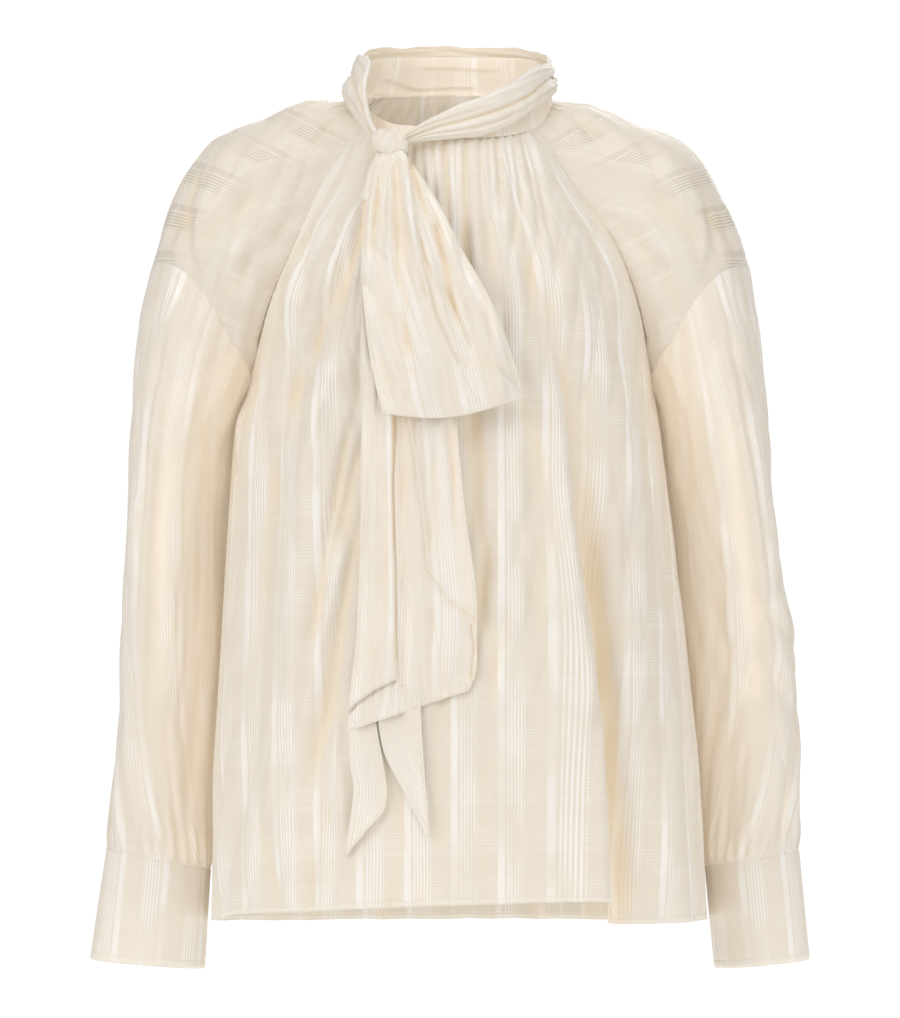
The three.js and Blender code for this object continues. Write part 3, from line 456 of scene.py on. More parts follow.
# Noises of the cloth: waves to a metre, finer layers and their share
CRINKLES = (85, 5, 0.55)
SLOW_TONE = (9, 2)
# Slow patches where the woven satin stripes show brighter: a painted highlight
SATIN_HIGHLIGHT_PATCHES = (38, 2)
HIGHLIGHT_PATCH_LEAST = 0.25
# Stitched hem, in metres: length of a stitch, and reach of its thread, its hem's edge and its groove
STITCH = {"length": 0.0026, "thread": (0.0006, 0.0002), "hem": (0.0003, -0.0003), "groove": (0.0016, 0.0)}


def band(tree, place, repeat, solid_share):
    """Satin band: 1 on its lines, the solid share on its stripe, and 0 on the crepe between bands."""
    phase = product(tree, number(tree, "FRACT", number(tree, "DIVIDE", place, repeat)), repeat)
    rises = fade(tree, phase, 0.0, BAND["soft"])
    falls = fade(tree, phase, BAND["solid"] + BAND["edge"], BAND["solid"] - BAND["soft"])
    stripe = product(tree, rises, falls, solid_share)
    turns = product(tree, number(tree, "SUBTRACT", phase, BAND["first"]), 2 * np.pi / BAND["pitch"])
    wave = fade(tree, number(tree, "SINE", turns), -0.25, 0.75)
    starts = fade(tree, phase, BAND["first"] - BAND["edge"], BAND["first"])
    ends = fade(tree, phase, BAND["last"] + BAND["edge"], BAND["last"])
    return number(tree, "MAXIMUM", stripe, product(tree, starts, ends, wave))


def woven_check():
    """Node group of the cloth: where the satin threads run along and across it, shown in slow patches as a
    painted highlight, its crinkles as a height and a slow uneven tone, all from the cloth's own coordinates."""
    titles = ("Along", "Across", "Height", "Tone")
    group, start, parts, end = new_group("woven check", (), titles)
    lengthened = {"Vector": start["Cloth"], "Scale": (1, 0.32, 1)}
    place = connect(group, group.nodes.new("ShaderNodeMapping"), lengthened)[0]
    highlight_patches = fade(group, noise(group, place, *SATIN_HIGHLIGHT_PATCHES), 0.40, 0.60)
    # Painted highlight: the satin stripes show fully in the patches and faintly between them
    shown = number(group, "ADD", product(group, highlight_patches, 1 - HIGHLIGHT_PATCH_LEAST), HIGHLIGHT_PATCH_LEAST)
    stripes = product(group, band(group, parts["X"], REPEAT_ACROSS, STRIPE_SHARE["along"]), shown)
    rows = product(group, band(group, parts["Y"], REPEAT_DOWN, STRIPE_SHARE["across"]), shown)
    raised = [product(group, stripes, THREAD_HEIGHT["along"]), product(group, rows, THREAD_HEIGHT["across"])]
    height = number(group, "ADD", noise(group, place, *CRINKLES), number(group, "ADD", *raised))
    connect(group, end, dict(zip(titles, (stripes, rows, height, noise(group, place, *SLOW_TONE)))))
    return group


def stitched_hem():
    """Node group of a sewn edge: the turned hem and its row of stitches, from the distance to the edge
    and the cloth's coordinates."""
    titles = ("Hem", "Thread", "Groove")
    group, start, parts, end = new_group("stitched hem", ("Edge", "Stitch Line"), titles)
    past = number(group, "SUBTRACT", start["Edge"], start["Stitch Line"])
    near = number(group, "ABSOLUTE", past)
    run = number(group, "ADD", parts["X"], parts["Y"])
    dash = number(group, "FRACT", number(group, "DIVIDE", run, STITCH["length"]))
    dashes = product(group, fade(group, dash, 0.1, 0.25), fade(group, dash, 0.85, 0.7))
    thread = product(group, fade(group, near, *STITCH["thread"]), dashes)
    values = (fade(group, past, *STITCH["hem"]), thread, fade(group, near, *STITCH["groove"]))
    connect(group, end, dict(zip(titles, values)))
    return group


WOVEN_CHECK = woven_check()
STITCHED_HEM = stitched_hem()
IVORY = {
    "ground": (0.845, 0.752, 0.62),
    "satin": (0.985, 0.95, 0.89),
    "across": (0.93, 0.87, 0.765),
    "hem": (0.90, 0.83, 0.71),
    "thread": (0.80, 0.70, 0.54),
    # Warm tone painted into the hollows: painted shade in the base colour and painted glow in the emission
    "painted_shade_glow": (0.68, 0.535, 0.34),
}
# Share of the warm painted shade in a full hollow, and the strength of the painted glow there
PAINTED_SHADE_SHARE = 0.42
PAINTED_GLOW = 0.3
SEE_THROUGH = 0.15
CRINKLE = 0.0016
SATIN_SHARES = {"along": 0.9, "across": 0.4}
HEM_SHARES = {"hem": 0.5, "thread": 0.8, "groove": -0.35}
# Slow tone of the crepe: how dark it gets, and the noise over which it changes
CREPE_TONE = {"dark": 0.955, "from": 0.25, "to": 0.8}
GLOSS = {"crepe": 0.64, "along": -0.30, "across": -0.16}
# Distance from the middle line of a shoulder, in metres, over which a painted shade on its bars fades out
RIDGE_SHADE_REACH = (0.045, 0.12)


def crepe(name, colours, stitch_line=HEM_STITCHES, crinkle=CRINKLE, shares=SATIN_SHARES, painted_glow=PAINTED_GLOW,
          see_through=SEE_THROUGH):
    """Material of the cloth: dull crepe with glossier satin threads over it, a turned hem with its
    stitches, and in the hollows a warm painted shade with a painted glow, in place of light that comes
    through several layers."""
    material = bpy.data.materials.new(name)
    material.use_nodes = True
    tree = material.node_tree
    cloth_map = tree.nodes.new("ShaderNodeUVMap")
    cloth_map.uv_map = "Cloth"
    place, edge = cloth_map.outputs[0], painted(tree, "edge")
    weave = use_group(tree, WOVEN_CHECK, {"Cloth": place})
    hem = use_group(tree, STITCHED_HEM, {"Cloth": place, "Edge": edge, "Stitch Line": stitch_line * MM})
    tone = fade(tree, weave["Tone"], CREPE_TONE["from"], CREPE_TONE["to"])
    dark = [CREPE_TONE["dark"] * c for c in colours["ground"]]
    colour = blend(tree, tone, dark, colours["ground"])
    across = colours["across"]
    # Painted shade: near the shoulder's middle line the bars take the dark crest colour
    if "crest" in colours:
        across = blend(tree, fade(tree, edge, *RIDGE_SHADE_REACH), colours["crest"], across)
    for mask, share, over in (
        (weave["Across"], shares["across"], across),
        (weave["Along"], shares["along"], colours["satin"]),
        (hem["Hem"], HEM_SHARES["hem"], colours["hem"]),
        (hem["Thread"], HEM_SHARES["thread"], colours["thread"]),
    ):
        colour = blend(tree, product(tree, mask, share), colour, over)
    # Painted shade: the base colour turns to the warm tone in the hollows
    depth = product(tree, painted(tree, "painted_shade_depth"), PAINTED_SHADE_SHARE)
    gloss = [product(tree, weave["Along"], GLOSS["along"]), product(tree, weave["Across"], GLOSS["across"])]
    height = number(tree, "ADD", weave["Height"], product(tree, hem["Groove"], HEM_SHARES["groove"]))
    relief = {"Strength": 0.55, "Distance": crinkle, "Height": height}
    connect(tree, tree.nodes["Principled BSDF"], {
        "Base Color": blend(tree, depth, colour, colours["painted_shade_glow"]),
        "Roughness": number(tree, "ADD", number(tree, "ADD", *gloss), GLOSS["crepe"]),
        "Normal": connect(tree, tree.nodes.new("ShaderNodeBump"), relief)[0],
        "Specular IOR Level": 0.6,
        "Sheen Weight": 0.15,
        "Sheen Roughness": 0.4,
        "Subsurface Weight": see_through,
        "Subsurface Radius": (1.0, 0.72, 0.42),
        "Subsurface Scale": 0.012,
        # Painted glow: the hollows give off the warm tone as light
        "Emission Color": blend(tree, depth, (0.0, 0.0, 0.0), colours["painted_shade_glow"]),
        "Emission Strength": painted_glow,
    })
    return material


def painted_shade_of(relief, full, reach=8):
    """Painted shade of a place: how far it lies below most of the mean of its neighbours, as a share of
    the full depth."""
    return np.clip((0.75 * smoothed(relief, reach) - relief) / full, 0, 1) ** 1.2


def body_form(face, sections, top, columns, above, below, side_gap=0):
    """Smooth form of a body panel: its places, points, normals and drops, its large folds, and a share
    that falls to nothing at its seams."""
    s, level = grid((-1, 1, columns), (0, RAGLAN_END, above), (1, 2, below))
    smooth = panel(face, sections, top, s * np.where(level >= 1, 1 - side_gap, 1), level)
    normal = outward(smooth, smooth * (0.4, 0, 1) + (0, 5, -20))
    drop = -smooth[..., 2]
    relief = body_folds(BODY_FOLDS, round_body(face, s), drop, s)
    return s, level, smooth, normal, drop, relief, (1 - s**16) * ease((1 - np.abs(s)) * 14 + 0.2)


def body_panel(node, smooth, points, normal, relief, fullness):
    """Makes a body panel of the crepe, sewn at the top and the sides. Its cloth is fuller across where it
    is gathered, and its coordinates start from its hem and its middle."""
    u, v = lengths(smooth)
    middle = (u.shape[1] - 1) // 2
    gathered = hump((-smooth[..., 2] - fullness["drop"]) / fullness["reach"])
    u = (u - u[:, middle : middle + 1]) * (1 + fullness["share"] * gathered)
    v = v[-1:] - v
    # Painted shade and glow in the folds' hollows
    shade = painted_shade_of(relief, BODY_FULL_SHADE)
    piece = cloth(node, points, normal, u, v, body_crepe, shade, edge=v, seams="top left right")
    settle(piece, node)


body_crepe = crepe("body crepe", IVORY)
s, level, smooth, normal, drop, relief, in_seams = body_form(-1, FRONT_SECTIONS, FRONT_TOP, 241, 84, 112)
waves = uneven(smooth[..., 0], drop, FRONT_WAVES) * ease(level / 0.5)
fine = FRONT_CREASE_SHARE * creases(FRONT_CREASES, smooth[..., 0], drop) * in_seams + waves * in_seams
travelled = np.clip((drop - FRONT_TOP["middle"]) / FOLD_TRAVEL, 0, 1)
fold_centre = mix(DEEP_FOLD["top"], DEEP_FOLD["hem"], travelled)
lean = DEEP_FOLD["lean"] * hump((round_body(-1, s) - fold_centre) / DEEP_FOLD["width"])
lean = lean * ease((drop - DEEP_FOLD["start"]) / (2 * EASE_LENGTH))
points = smooth + normal * (relief + fine)[..., None] + lean[..., None] * np.array([1.0, 0.12, 0.0])
body_panel("front", smooth, points, normal, relief + fine, FRONT_FULLNESS)


# Back: the same crepe in one piece, gathered more sparsely onto the neckband, sewn to the raglan
# shoulders and along the side seams to the front, and a little longer than it at the hem.
BACK_TOP = {"middle": -14, "seam": -11}
BACK_SEAM = -12
SIDE_GAP = 0.3 / 180
BACK_WAVES = ((1.2, 50, 5), (2.8, 27, 19))
BACK_FULLNESS = {"share": 0.5, "drop": BACK_SEAM, "reach": 70}
BACK_SECTIONS = table(
    "drop left right angle depth",
    (-12, 58, 58, 47, 62), (24, 86, 86, 56, 84), (40, 96, 96, 58, 90), (71, 114, 114, 61, 95),
    (117, 134, 134, 66, 99), (164, 149, 149, 73, 102), (195, 155, 156, 80, 103),
    (222, 159.4, 161.4, 83, 103), (225, 160, 162, 84, 103), (264, 172, 168, 88.6, 104),
    (345, 178, 178, 90, 107), (430, 183, 188, 90, 111), (544, 189, 200, 90, 117), (665, 191, 206, 90, 124),
)
BACK_GATHERS = {"count": 11, "rise": 1.8, "fade": 80}
BACK_CREASES = table(
    "x0 drop0 x1 drop1 bow width rise",
    (-34, -20, -62, 160, 3, 3.4, -2.6), (-12, -20, -20, 120, 1, 3.0, -2.0), (8, -20, 14, 150, 0, 3.4, -2.6),
    (30, -20, 58, 190, -3, 3.6, -2.4), (-52, 20, -110, 300, 6, 5.0, 2.4), (50, 20, 104, 330, -6, 5.0, 2.2),
    (-80, 200, -96, 640, 4, 8.0, -2.6), (-30, 180, -24, 560, -3, 7.0, 2.2),
    (20, 260, 34, 650, 3, 8.0, -2.4), (76, 220, 100, 640, -4, 8.0, 2.4),
    (130, 260, 150, 600, -3, 7.0, -2.2), (-140, 300, -150, 640, 3, 7.0, 2.2),
)


def gathers(s, below, values, seed):
    """Gathers under a seam: waves across a panel, uneven by slower sines, fading with the square of the
    distance below the seam."""
    phase = np.random.default_rng(seed).uniform(0, 6.3, 2)
    bent = 0.9 * np.sin(5 * s + phase[0]) + 0.5 * np.sin(11 * s + phase[1])
    wave = np.sin(np.pi * values["count"] * (s + 1) + bent)
    return values["rise"] * wave * hump(below / values["fade"]) * ease(below / 30)


back_form = body_form(1, BACK_SECTIONS, BACK_TOP, 181, 60, 84, SIDE_GAP)
s, level, smooth, normal, drop, relief, in_seams = back_form
below = drop - BACK_SEAM
fine = gathers(s, below, BACK_GATHERS, 8) + creases(BACK_CREASES, smooth[..., 0], drop)
waves = uneven(smooth[..., 0], drop, BACK_WAVES)
fine = (fine * ease(below / 30) + waves * ease(level / 0.4)) * in_seams
points = smooth + normal * (relief + fine)[..., None]
body_panel("back", smooth, points, normal, relief + fine, BACK_FULLNESS)


# Raglan shoulders: a piece on each side from the neckband over the shoulder to the drop-shoulder seam,
# of the same crepe, sewn to the front and the back with plain pressed seams that pucker slightly.
SHOULDER_WAVES = ((1.1, 42, 12), (1.6, 24, 12))
SHOULDER_FULL_SHADE = 4
SHOULDER_SHARES = {"along": 0.25, "across": 0.9}
SHOULDER_CREASE_SHARE = 1.1
# Inside of the shoulder, which its normals point away from
SHOULDER_CORE = {"out": 92.0, "lie": 2.0, "drop": 92.0, "share": 0.45}
SEAM_BESIDE = 0.36
SEAM_OUTSIDE = 0.45
SLEEVE_COLUMNS = 24
SIDES = {"left": -1, "right": 1}
SLEEVES = {
    "left": table(
        "drop outer inner middle depth turn climb lift",
        (178, 238, 160.5, 5, 60, 0, 1.2, 28), (215, 249, 171, 9, 65, 4, 0.85, 13),
        (262, 255, 177.5, 21, 67, 10, 0.45, 4), (330, 259, 176, 37, 66, 17, 0.15, 0),
        (400, 262, 175, 47, 63, 19, 0, 0), (480, 265, 180, 49, 58, 18, 0.02, 0),
        (560, 272, 188.5, 42, 48, 9, 0.1, 0), (607, 276.5, 192.5, 33, 35, 0, 0.21, 0),
    ),
    "right": table(
        "drop outer inner middle depth turn climb lift",
        (180, 240, 162.5, 5, 60, 0, 1.16, 28), (216, 247, 170, 9, 65, 4, 0.8, 13),
        (262, 253, 173.5, 21, 67, 10, 0.45, 4), (330, 261, 175, 37, 66, 17, 0.15, 0),
        (400, 270, 179, 47, 63, 19, 0, 0), (480, 278, 189, 49, 58, 18, 0.02, 0),
        (560, 280, 200.5, 44, 48, 9, 0.1, 0), (607, 281, 205, 37, 36, 0, 0.17, 0),
    ),
}
RIDGES = {
    "left": ((0.15, 112, 1), (0.33, 151, 16), (0.5, 187, 31), (0.63, 205, 51), (0.8, 223, 86)),
    "right": ((0.15, 108, 3), (0.33, 147, 18), (0.5, 181, 31), (0.63, 202, 51), (0.8, 221, 88)),
}
# Soft creases of a shoulder piece: place round it from the front seam at 0 to the back seam at 1, and
# place along it from the neck at 0 to the drop-shoulder seam at 1, at both ends
SHOULDER_CREASES = table(
    "c0 r0 c1 r1 width rise",
    (0.03, 0.30, 0.16, 0.98, 0.022, -3.2), (0.08, 0.42, 0.22, 1.02, 0.022, 2.6),
    (0.14, 0.40, 0.29, 1.0, 0.024, -2.8), (0.05, 0.62, 0.36, 1.02, 0.022, 2.2),
    (0.20, 0.55, 0.42, 1.0, 0.020, -1.8), (0.10, 0.05, 0.13, 0.5, 0.030, 1.2),
    (0.40, 0.60, 0.26, 1.02, 0.030, -3.4), (0.34, 0.70, 0.20, 1.02, 0.022, 2.4),
    (0.46, 0.74, 0.40, 1.02, 0.03, 1.8), (0.94, 0.35, 0.82, 0.98, 0.024, -3.0),
    (0.88, 0.45, 0.72, 1.0, 0.024, 2.4), (0.78, 0.30, 0.66, 0.95, 0.026, -1.8),
)
PUCKER = {"rise": 0.45, "reach": 7}
NECK_PLEATS = {"rise": 0.5, "reach": 16}
UNDERARM_FULLNESS = 3.6
# Grain of a shoulder piece: its bars lie level at the outer edge and slope down to the front further in
GRAIN = {"outer": 229, "slope": 0.62, "reach": 60, "first": 44}
# The dark crest colour is a painted shade on the bars along the shoulder's ridge
SHOULDER_IVORY = {**IVORY, "across": (0.92, 0.85, 0.74), "crest": (0.58, 0.475, 0.36)}
NO_STITCHES = -1000


def arm_ring(arm, out, place, drop):
    """Ring of a sleeve or cuff: an oval turned about the upright, climbing outwards and lifted at the
    front and back. Place 0 faces the body, a quarter the front and a half the outside."""
    value = {column: along(arm, "drop", drop, column) for column in arm}
    turn, turned = np.radians(value["turn"]), 2 * np.pi * place
    half = (value["outer"] - value["inner"]) / 2
    narrow = np.sqrt(half**2 - (value["depth"] * np.sin(turn)) ** 2) / np.cos(turn)
    ahead, outside = value["depth"] * np.sin(turned), -narrow * np.cos(turned)
    across = outside * np.cos(turn) + ahead * np.sin(turn)
    fore_aft = outside * np.sin(turn) - ahead * np.cos(turn)
    rise = value["climb"] * across + value["lift"] * np.sin(turned) ** 2
    centre = (value["outer"] + value["inner"]) / 2
    return xyz(out * (centre + across), value["middle"] + fore_aft, -drop + rise)


def raglan_edge(face, sections, top, side, r):
    """Edge of a shoulder piece: the panel's own edge, moved a seam's gap beside it, and outside it near
    the arm."""
    level, small = r * RAGLAN_END, 1e-3
    edge = np.full_like(level, float(side))
    point = panel(face, sections, top, edge, level)
    beside = unit(point - panel(face, sections, top, edge * 0.99, level))
    up = panel(face, sections, top, edge, np.clip(level - small, 0, 1))
    under = panel(face, sections, top, edge, np.clip(level + small, 0, 1))
    normal = unit(np.cross(point - panel(face, sections, top, edge * (1 - small), level), under - up))
    core = point * (0, 0, 1) + (0, 5, -30)
    normal = normal * np.sign((normal * (point - core)).sum(-1, keepdims=True))
    near_arm = ease((r - 0.6) / 0.4)[..., None]
    return point + beside * SEAM_BESIDE * (1 - near_arm) + normal * SEAM_OUTSIDE * near_arm


def shoulder_surface(side, c, r):
    """Shoulder piece: a patch between its four edges, the two raglan seams, the neck seam and the
    drop-shoulder seam, raised to its ridge line half way round."""
    out, arm = SIDES[side], SLEEVES[side]
    first = 1 / SLEEVE_COLUMNS
    turned = mix(RAGLAN_ANGLE[out] * out, RAGLAN_ANGLE["back"] * out, c)
    ends = np.array([0.0, 1.0])
    ring_top = arm["drop"][0]
    ring = arm_ring(arm, out, mix(first, 1 - first, c), ring_top)
    ring_ends = arm_ring(arm, out, mix(first, 1 - first, ends), ring_top)
    edges = []
    panels = ((-1, FRONT_SECTIONS, FRONT_TOP), (1, BACK_SECTIONS, BACK_TOP))
    for k, (face, sections, top) in enumerate(panels):
        shift = ring_ends[k] - raglan_edge(face, sections, top, out, ends)[1]
        edges.append(raglan_edge(face, sections, top, out, r) + shift * r[:, None] ** 6)
    starts = [edge[0] - neck_seam(turned[k]) for edge, k in ((edges[0], 0), (edges[1], -1))]
    neck = neck_seam(turned) + mix(starts[0], starts[1], c[:, None])
    cc, rr = c[None, :, None], r[:, None, None]
    sides = mix(edges[0][:, None], edges[1][:, None], cc)
    corners = mix(mix(edges[0][0], edges[1][0], cc), mix(edges[0][-1], edges[1][-1], cc), rr)
    patch = mix(neck[None], ring[None], rr) + sides - corners
    halfway = patch[:, len(c) // 2]
    start, end = ((at, abs(halfway[k, 0]), -halfway[k, 2]) for at, k in ((0, 0), (1, -1)))
    line = table("along out drop", start, *RIDGES[side], end)
    crest = xyz(out * along(line, "along", r, "out"), halfway[:, 1], -along(line, "along", r, "drop"))
    return patch + (crest - halfway)[:, None] * (np.sin(np.pi * cc) ** 1.4)


def patch_creases(marks, c, r):
    """Creases of a patch: each follows a straight line between two places on it and eases in and out."""
    total = np.zeros(np.shape(c))
    for k in range(len(marks["rise"])):
        t = (r - marks["r0"][k]) / (marks["r1"][k] - marks["r0"][k])
        line = mix(marks["c0"][k], marks["c1"][k], np.clip(t, 0, 1))
        crease = marks["rise"][k] * hump((c - line) / marks["width"][k], 1.7)
        total += crease * span(t, 0, 1.05, 0.3, 0.3)
    return total


def drawn_in(points, out):
    """Cloth at the underarm lies against the body: there it moves to the middle by the fullness."""
    lowered, away = -points[..., 2], out * points[..., 0]
    moved = points.copy()
    share = span(lowered, 190, 350, 18, 50) * ease((200 - away) / 22)
    moved[..., 0] -= out * UNDERARM_FULLNESS * share
    return moved


shoulder_crepe = crepe("shoulder crepe", SHOULDER_IVORY, NO_STITCHES, shares=SHOULDER_SHARES)
for side, out in SIDES.items():
    c, r = grid((0, 1, 121), (0, 1, 101))
    smooth = shoulder_surface(side, c[0], r[:, 0])
    halfway = slice(60, 61)
    core = xyz(out * SHOULDER_CORE["out"], SHOULDER_CORE["lie"], -SHOULDER_CORE["drop"])
    normal = outward(smooth, mix(smooth[:, halfway], core, SHOULDER_CORE["share"]))
    u, v = lengths(smooth)
    from_seam = np.minimum(u, u[:, -1:] - u)
    pucker = PUCKER["rise"] * np.sin(v / 1.5 + 2 * np.sin(v / 9))
    pucker = pucker * hump(from_seam / PUCKER["reach"]) * ease(from_seam / 2)
    held = np.sin(np.pi * c) ** 0.5 * ease(r / 0.15) * ease((1 - r) / 0.12 + 0.15)
    waves = uneven(u, v, SHOULDER_WAVES, out)
    fine = (SHOULDER_CREASE_SHARE * patch_creases(SHOULDER_CREASES, c, r) + waves) * held + pucker
    pleats = NECK_PLEATS["rise"] * np.sin(u / 2.3 + np.sin(u / 7))
    pleats = pleats * hump(v / NECK_PLEATS["reach"]) * ease(from_seam / 4)
    points = drawn_in(smooth + normal * (fine + pleats)[..., None], out)
    u = u - u[:, halfway]
    inward = np.maximum(0, GRAIN["outer"] - out * smooth[..., 0])
    fall = GRAIN["slope"] * inward**2 / (inward + GRAIN["reach"])
    v = -smooth[..., 2] - fall - GRAIN["first"]
    # Painted shade and glow in the creases' hollows
    node, shade = "shoulder_" + side, painted_shade_of(fine, SHOULDER_FULL_SHADE)
    seams = "top bottom left right"
    piece = cloth(node, points, normal, u, v, shoulder_crepe, shade, edge=np.abs(u), seams=seams)
    settle(piece, node)


# Sleeves: a full tube of the crepe on each side, set with a little fullness on the drop-shoulder seam,
# hanging in long soft folds and gathered into the cuff, above which it puffs out.
SLANT_GAP = 0.6
SLEEVE_WAVES = ((1.1, 44, 21), (3, 22, 23))
SLEEVE_ROUND = 65
SLEEVE_CREASE_SHARE = 1.3
# Sleeve's side towards the body: how much flatter its creases are there, and how deep its painted shade and
# glow are
BODY_SIDE = {"flatter": 0.7, "shade": 0.75}
SLEEVE_FOLDS = table(
    "place start end width rise",
    (0.22, 215, 520, 0.035, -4), (0.085, 165, 345, 0.024, -5.5), (0.33, 260, 620, 0.045, 4),
    (0.42, 200, 420, 0.04, -4), (0.12, 330, 620, 0.04, -4), (0.7, 250, 560, 0.05, -5),
    (0.85, 300, 600, 0.05, -3),
)
SLEEVE_CREASES = table(
    "place start end width rise",
    (0.17, 160, 470, 0.014, 1.8), (0.27, 190, 560, 0.013, 2.2), (0.30, 170, 400, 0.012, -1.9),
    (0.37, 190, 640, 0.014, -2.0), (0.405, 360, 640, 0.012, 1.8), (0.47, 200, 520, 0.014, 1.8),
    (0.52, 260, 640, 0.014, -1.8), (0.60, 190, 430, 0.014, 1.8), (0.66, 380, 640, 0.013, -1.8),
    (0.76, 200, 500, 0.014, 1.8), (0.93, 240, 600, 0.014, -1.5), (0.19, 480, 640, 0.010, -1.8),
    (0.25, 500, 640, 0.009, 1.6), (0.34, 520, 640, 0.009, -1.8),
)
CUFF_SEAM_DROP = 607
CUFF_PLEATS = {"count": 26, "rise": 1.5, "fullest": 11}
SLEEVE_HEAD = {"count": 30, "rise": 0.7, "fade": 26}
# Valley of the sleeve beside the body, with painted shade and glow where light would shine through: its place
# round and its drop
VALLEY = {"place": 0.085, "width": 0.05, "drop": 235, "reach": 75, "shade": 0.7}
# The sleeve's warm tone for painted shade and glow is paler, and its painted glow stronger
SLEEVE_IVORY = {**IVORY, "painted_shade_glow": (0.75, 0.645, 0.505)}
SLEEVE_PAINTED_GLOW = 0.5
sleeve_crepe = crepe("sleeve crepe", SLEEVE_IVORY, painted_glow=SLEEVE_PAINTED_GLOW)


def tube_folds(folds, place, drop):
    """Folds down a tube: each a smooth hump at a place round it, eased in and out along its length."""
    apart = ((place[..., None] - folds["place"] + 1.5) % 1 - 0.5) / folds["width"]
    reach = span(drop[..., None], folds["start"], folds["end"], EASE_LENGTH, EASE_LENGTH)
    return (folds["rise"] * hump(apart) * reach).sum(-1)


def arm_core(arm, out, drop):
    """Middle line of a sleeve or cuff, half way between its inner and outer sides."""
    middle = (along(arm, "drop", drop, "outer") + along(arm, "drop", drop, "inner")) / 2
    return xyz(out * middle, along(arm, "drop", drop, "middle"), -drop)


for side, out in SIDES.items():
    arm = SLEEVES[side]
    place, r = grid((0, 1, 145), (0, 0.8, 84), (0.806, 1, 46))
    drop = mix(arm["drop"][0], CUFF_SEAM_DROP, r)
    smooth = arm_ring(arm, out, place, drop) - xyz(0, 0, SLANT_GAP * (1 - r))
    normal = outward(smooth, arm_core(arm, out, drop), tube=True)
    folds = tube_folds(SLEEVE_FOLDS, place, drop)
    shifted = place + 0.004 * np.sin(drop / 37 + out)
    fine = tube_folds(SLEEVE_CREASES, shifted, drop)
    above = np.maximum(0, CUFF_SEAM_DROP - drop) / CUFF_PLEATS["fullest"]
    bent = 0.8 * np.sin(2 * np.pi * 3 * place + 1) + 0.4 * np.sin(2 * np.pi * 7 * place)
    pleats = CUFF_PLEATS["rise"] * np.cos(2 * np.pi * CUFF_PLEATS["count"] * place + bent)
    pleats = pleats * above * np.exp(1 - above)
    head = SLEEVE_HEAD["rise"] * np.sin(2 * np.pi * SLEEVE_HEAD["count"] * place + 2 * bent)
    fall = (drop - arm["drop"][0]) / SLEEVE_HEAD["fade"]
    head = head * hump(fall) * ease(fall / 0.15)
    body_side = 0.5 + 0.5 * np.cos(2 * np.pi * place)
    waves = uneven(SLEEVE_ROUND * np.sin(2 * np.pi * place), drop, SLEEVE_WAVES, out)
    fine = SLEEVE_CREASE_SHARE * fine + waves * span(r, 0, 1, 0.08, 0.05)
    fine = fine * (1 - BODY_SIDE["flatter"] * body_side**4) + head
    relief = folds + fine + pleats
    points = drawn_in(smooth + normal * relief[..., None], out)
    u, v = lengths(smooth)
    u = u - u[:, 72:73]
    valley = hump((place - VALLEY["place"]) / VALLEY["width"])
    valley = valley * hump((drop - VALLEY["drop"]) / VALLEY["reach"])
    # Painted shade and glow: in the creases' hollows, on the side towards the body and in the valley
    shade = painted_shade_of(relief, BODY_FULL_SHADE) + BODY_SIDE["shade"] * body_side**1.2 + VALLEY["shade"] * valley
    shade = np.clip(shade, 0, 1)
    node, seams = "sleeve_" + side, "top bottom"
    piece = cloth(node, points, normal, u, v, sleeve_crepe, shade, tube=True, seams=seams)
    settle(piece, node)


# Cuffs: a deep doubled band of the same crepe round each wrist, sewn to the gathered sleeve, with one
# row of stitches a little above its lower edge.
CUFF_GAP = 0.3
CUFF_STITCHES = 6.4
CUFF_CRINKLE = 0.0011
# Relief of a cuff, in millimetres
CUFF_RELIEF = {"groove": -0.35, "roll": -0.5, "waves": 0.7, "puckers": 0.2, "dents": 0.45}
CUFF_ENDS = {"left": (692.5, 290, 197, 30, 29, 0, 0.08, 0), "right": (692.5, 290, 213, 35, 35, 0, 0.09, 0)}
CUFF_IVORY = {**IVORY, "ground": (0.87, 0.775, 0.64), "across": (0.93, 0.865, 0.755)}

cuff_crepe = crepe("cuff crepe", CUFF_IVORY, CUFF_STITCHES, CUFF_CRINKLE)
for side, out in SIDES.items():
    arm = SLEEVES[side]
    ends = [tuple(arm[column][-1] for column in arm), CUFF_ENDS[side]]
    band_table = table("drop outer inner middle depth turn climb lift", *ends)
    place, r = grid((0, 1, 129), (0, 1, 41))
    drop = mix(CUFF_SEAM_DROP, CUFF_ENDS[side][0], r)
    smooth = arm_ring(band_table, out, place, drop) - xyz(0, 0, CUFF_GAP)
    normal = outward(smooth, arm_core(band_table, out, drop), tube=True)
    u, v = lengths(smooth)
    from_hem = v[-1:] - v
    shapes = {
        "groove": hump((from_hem - CUFF_STITCHES) / 0.9),
        "roll": hump(from_hem / 1.2) + hump(v / 1.6),
        "waves": crumple(u, 1.6 * v, 40, 31 + out) * ease(v / 12),
        "puckers": np.sin(u / 1.1 + np.sin(u / 6)) * hump((from_hem - CUFF_STITCHES) / 4),
        "dents": np.sin(u / 2.4 + 1.5 * np.sin(u / 11)) * hump(v / 9) * ease(v / 2),
    }
    relief = sum(CUFF_RELIEF[key] * shape for key, shape in shapes.items())
    points = smooth + normal * relief[..., None]
    node, u = "cuff_" + side, u - u[:, 64:65]
    piece = cloth(node, points, normal, u, v, cuff_crepe, edge=from_hem, tube=True, seams="top")
    settle(piece, node)


# Neckband: a low doubled band that the gathered front, back and shoulders are sewn to. It stands round
# the neck inside the scarf and shows as a crescent between the scarf and the seam.
BAND_LIFT = 0.45
BAND_LEAN = 3
# The neckband's warm tone for its painted shade and glow
BAND_IVORY = {**CUFF_IVORY, "painted_shade_glow": (0.70, 0.58, 0.44)}
BAND_PAINTED_GLOW = 0.35
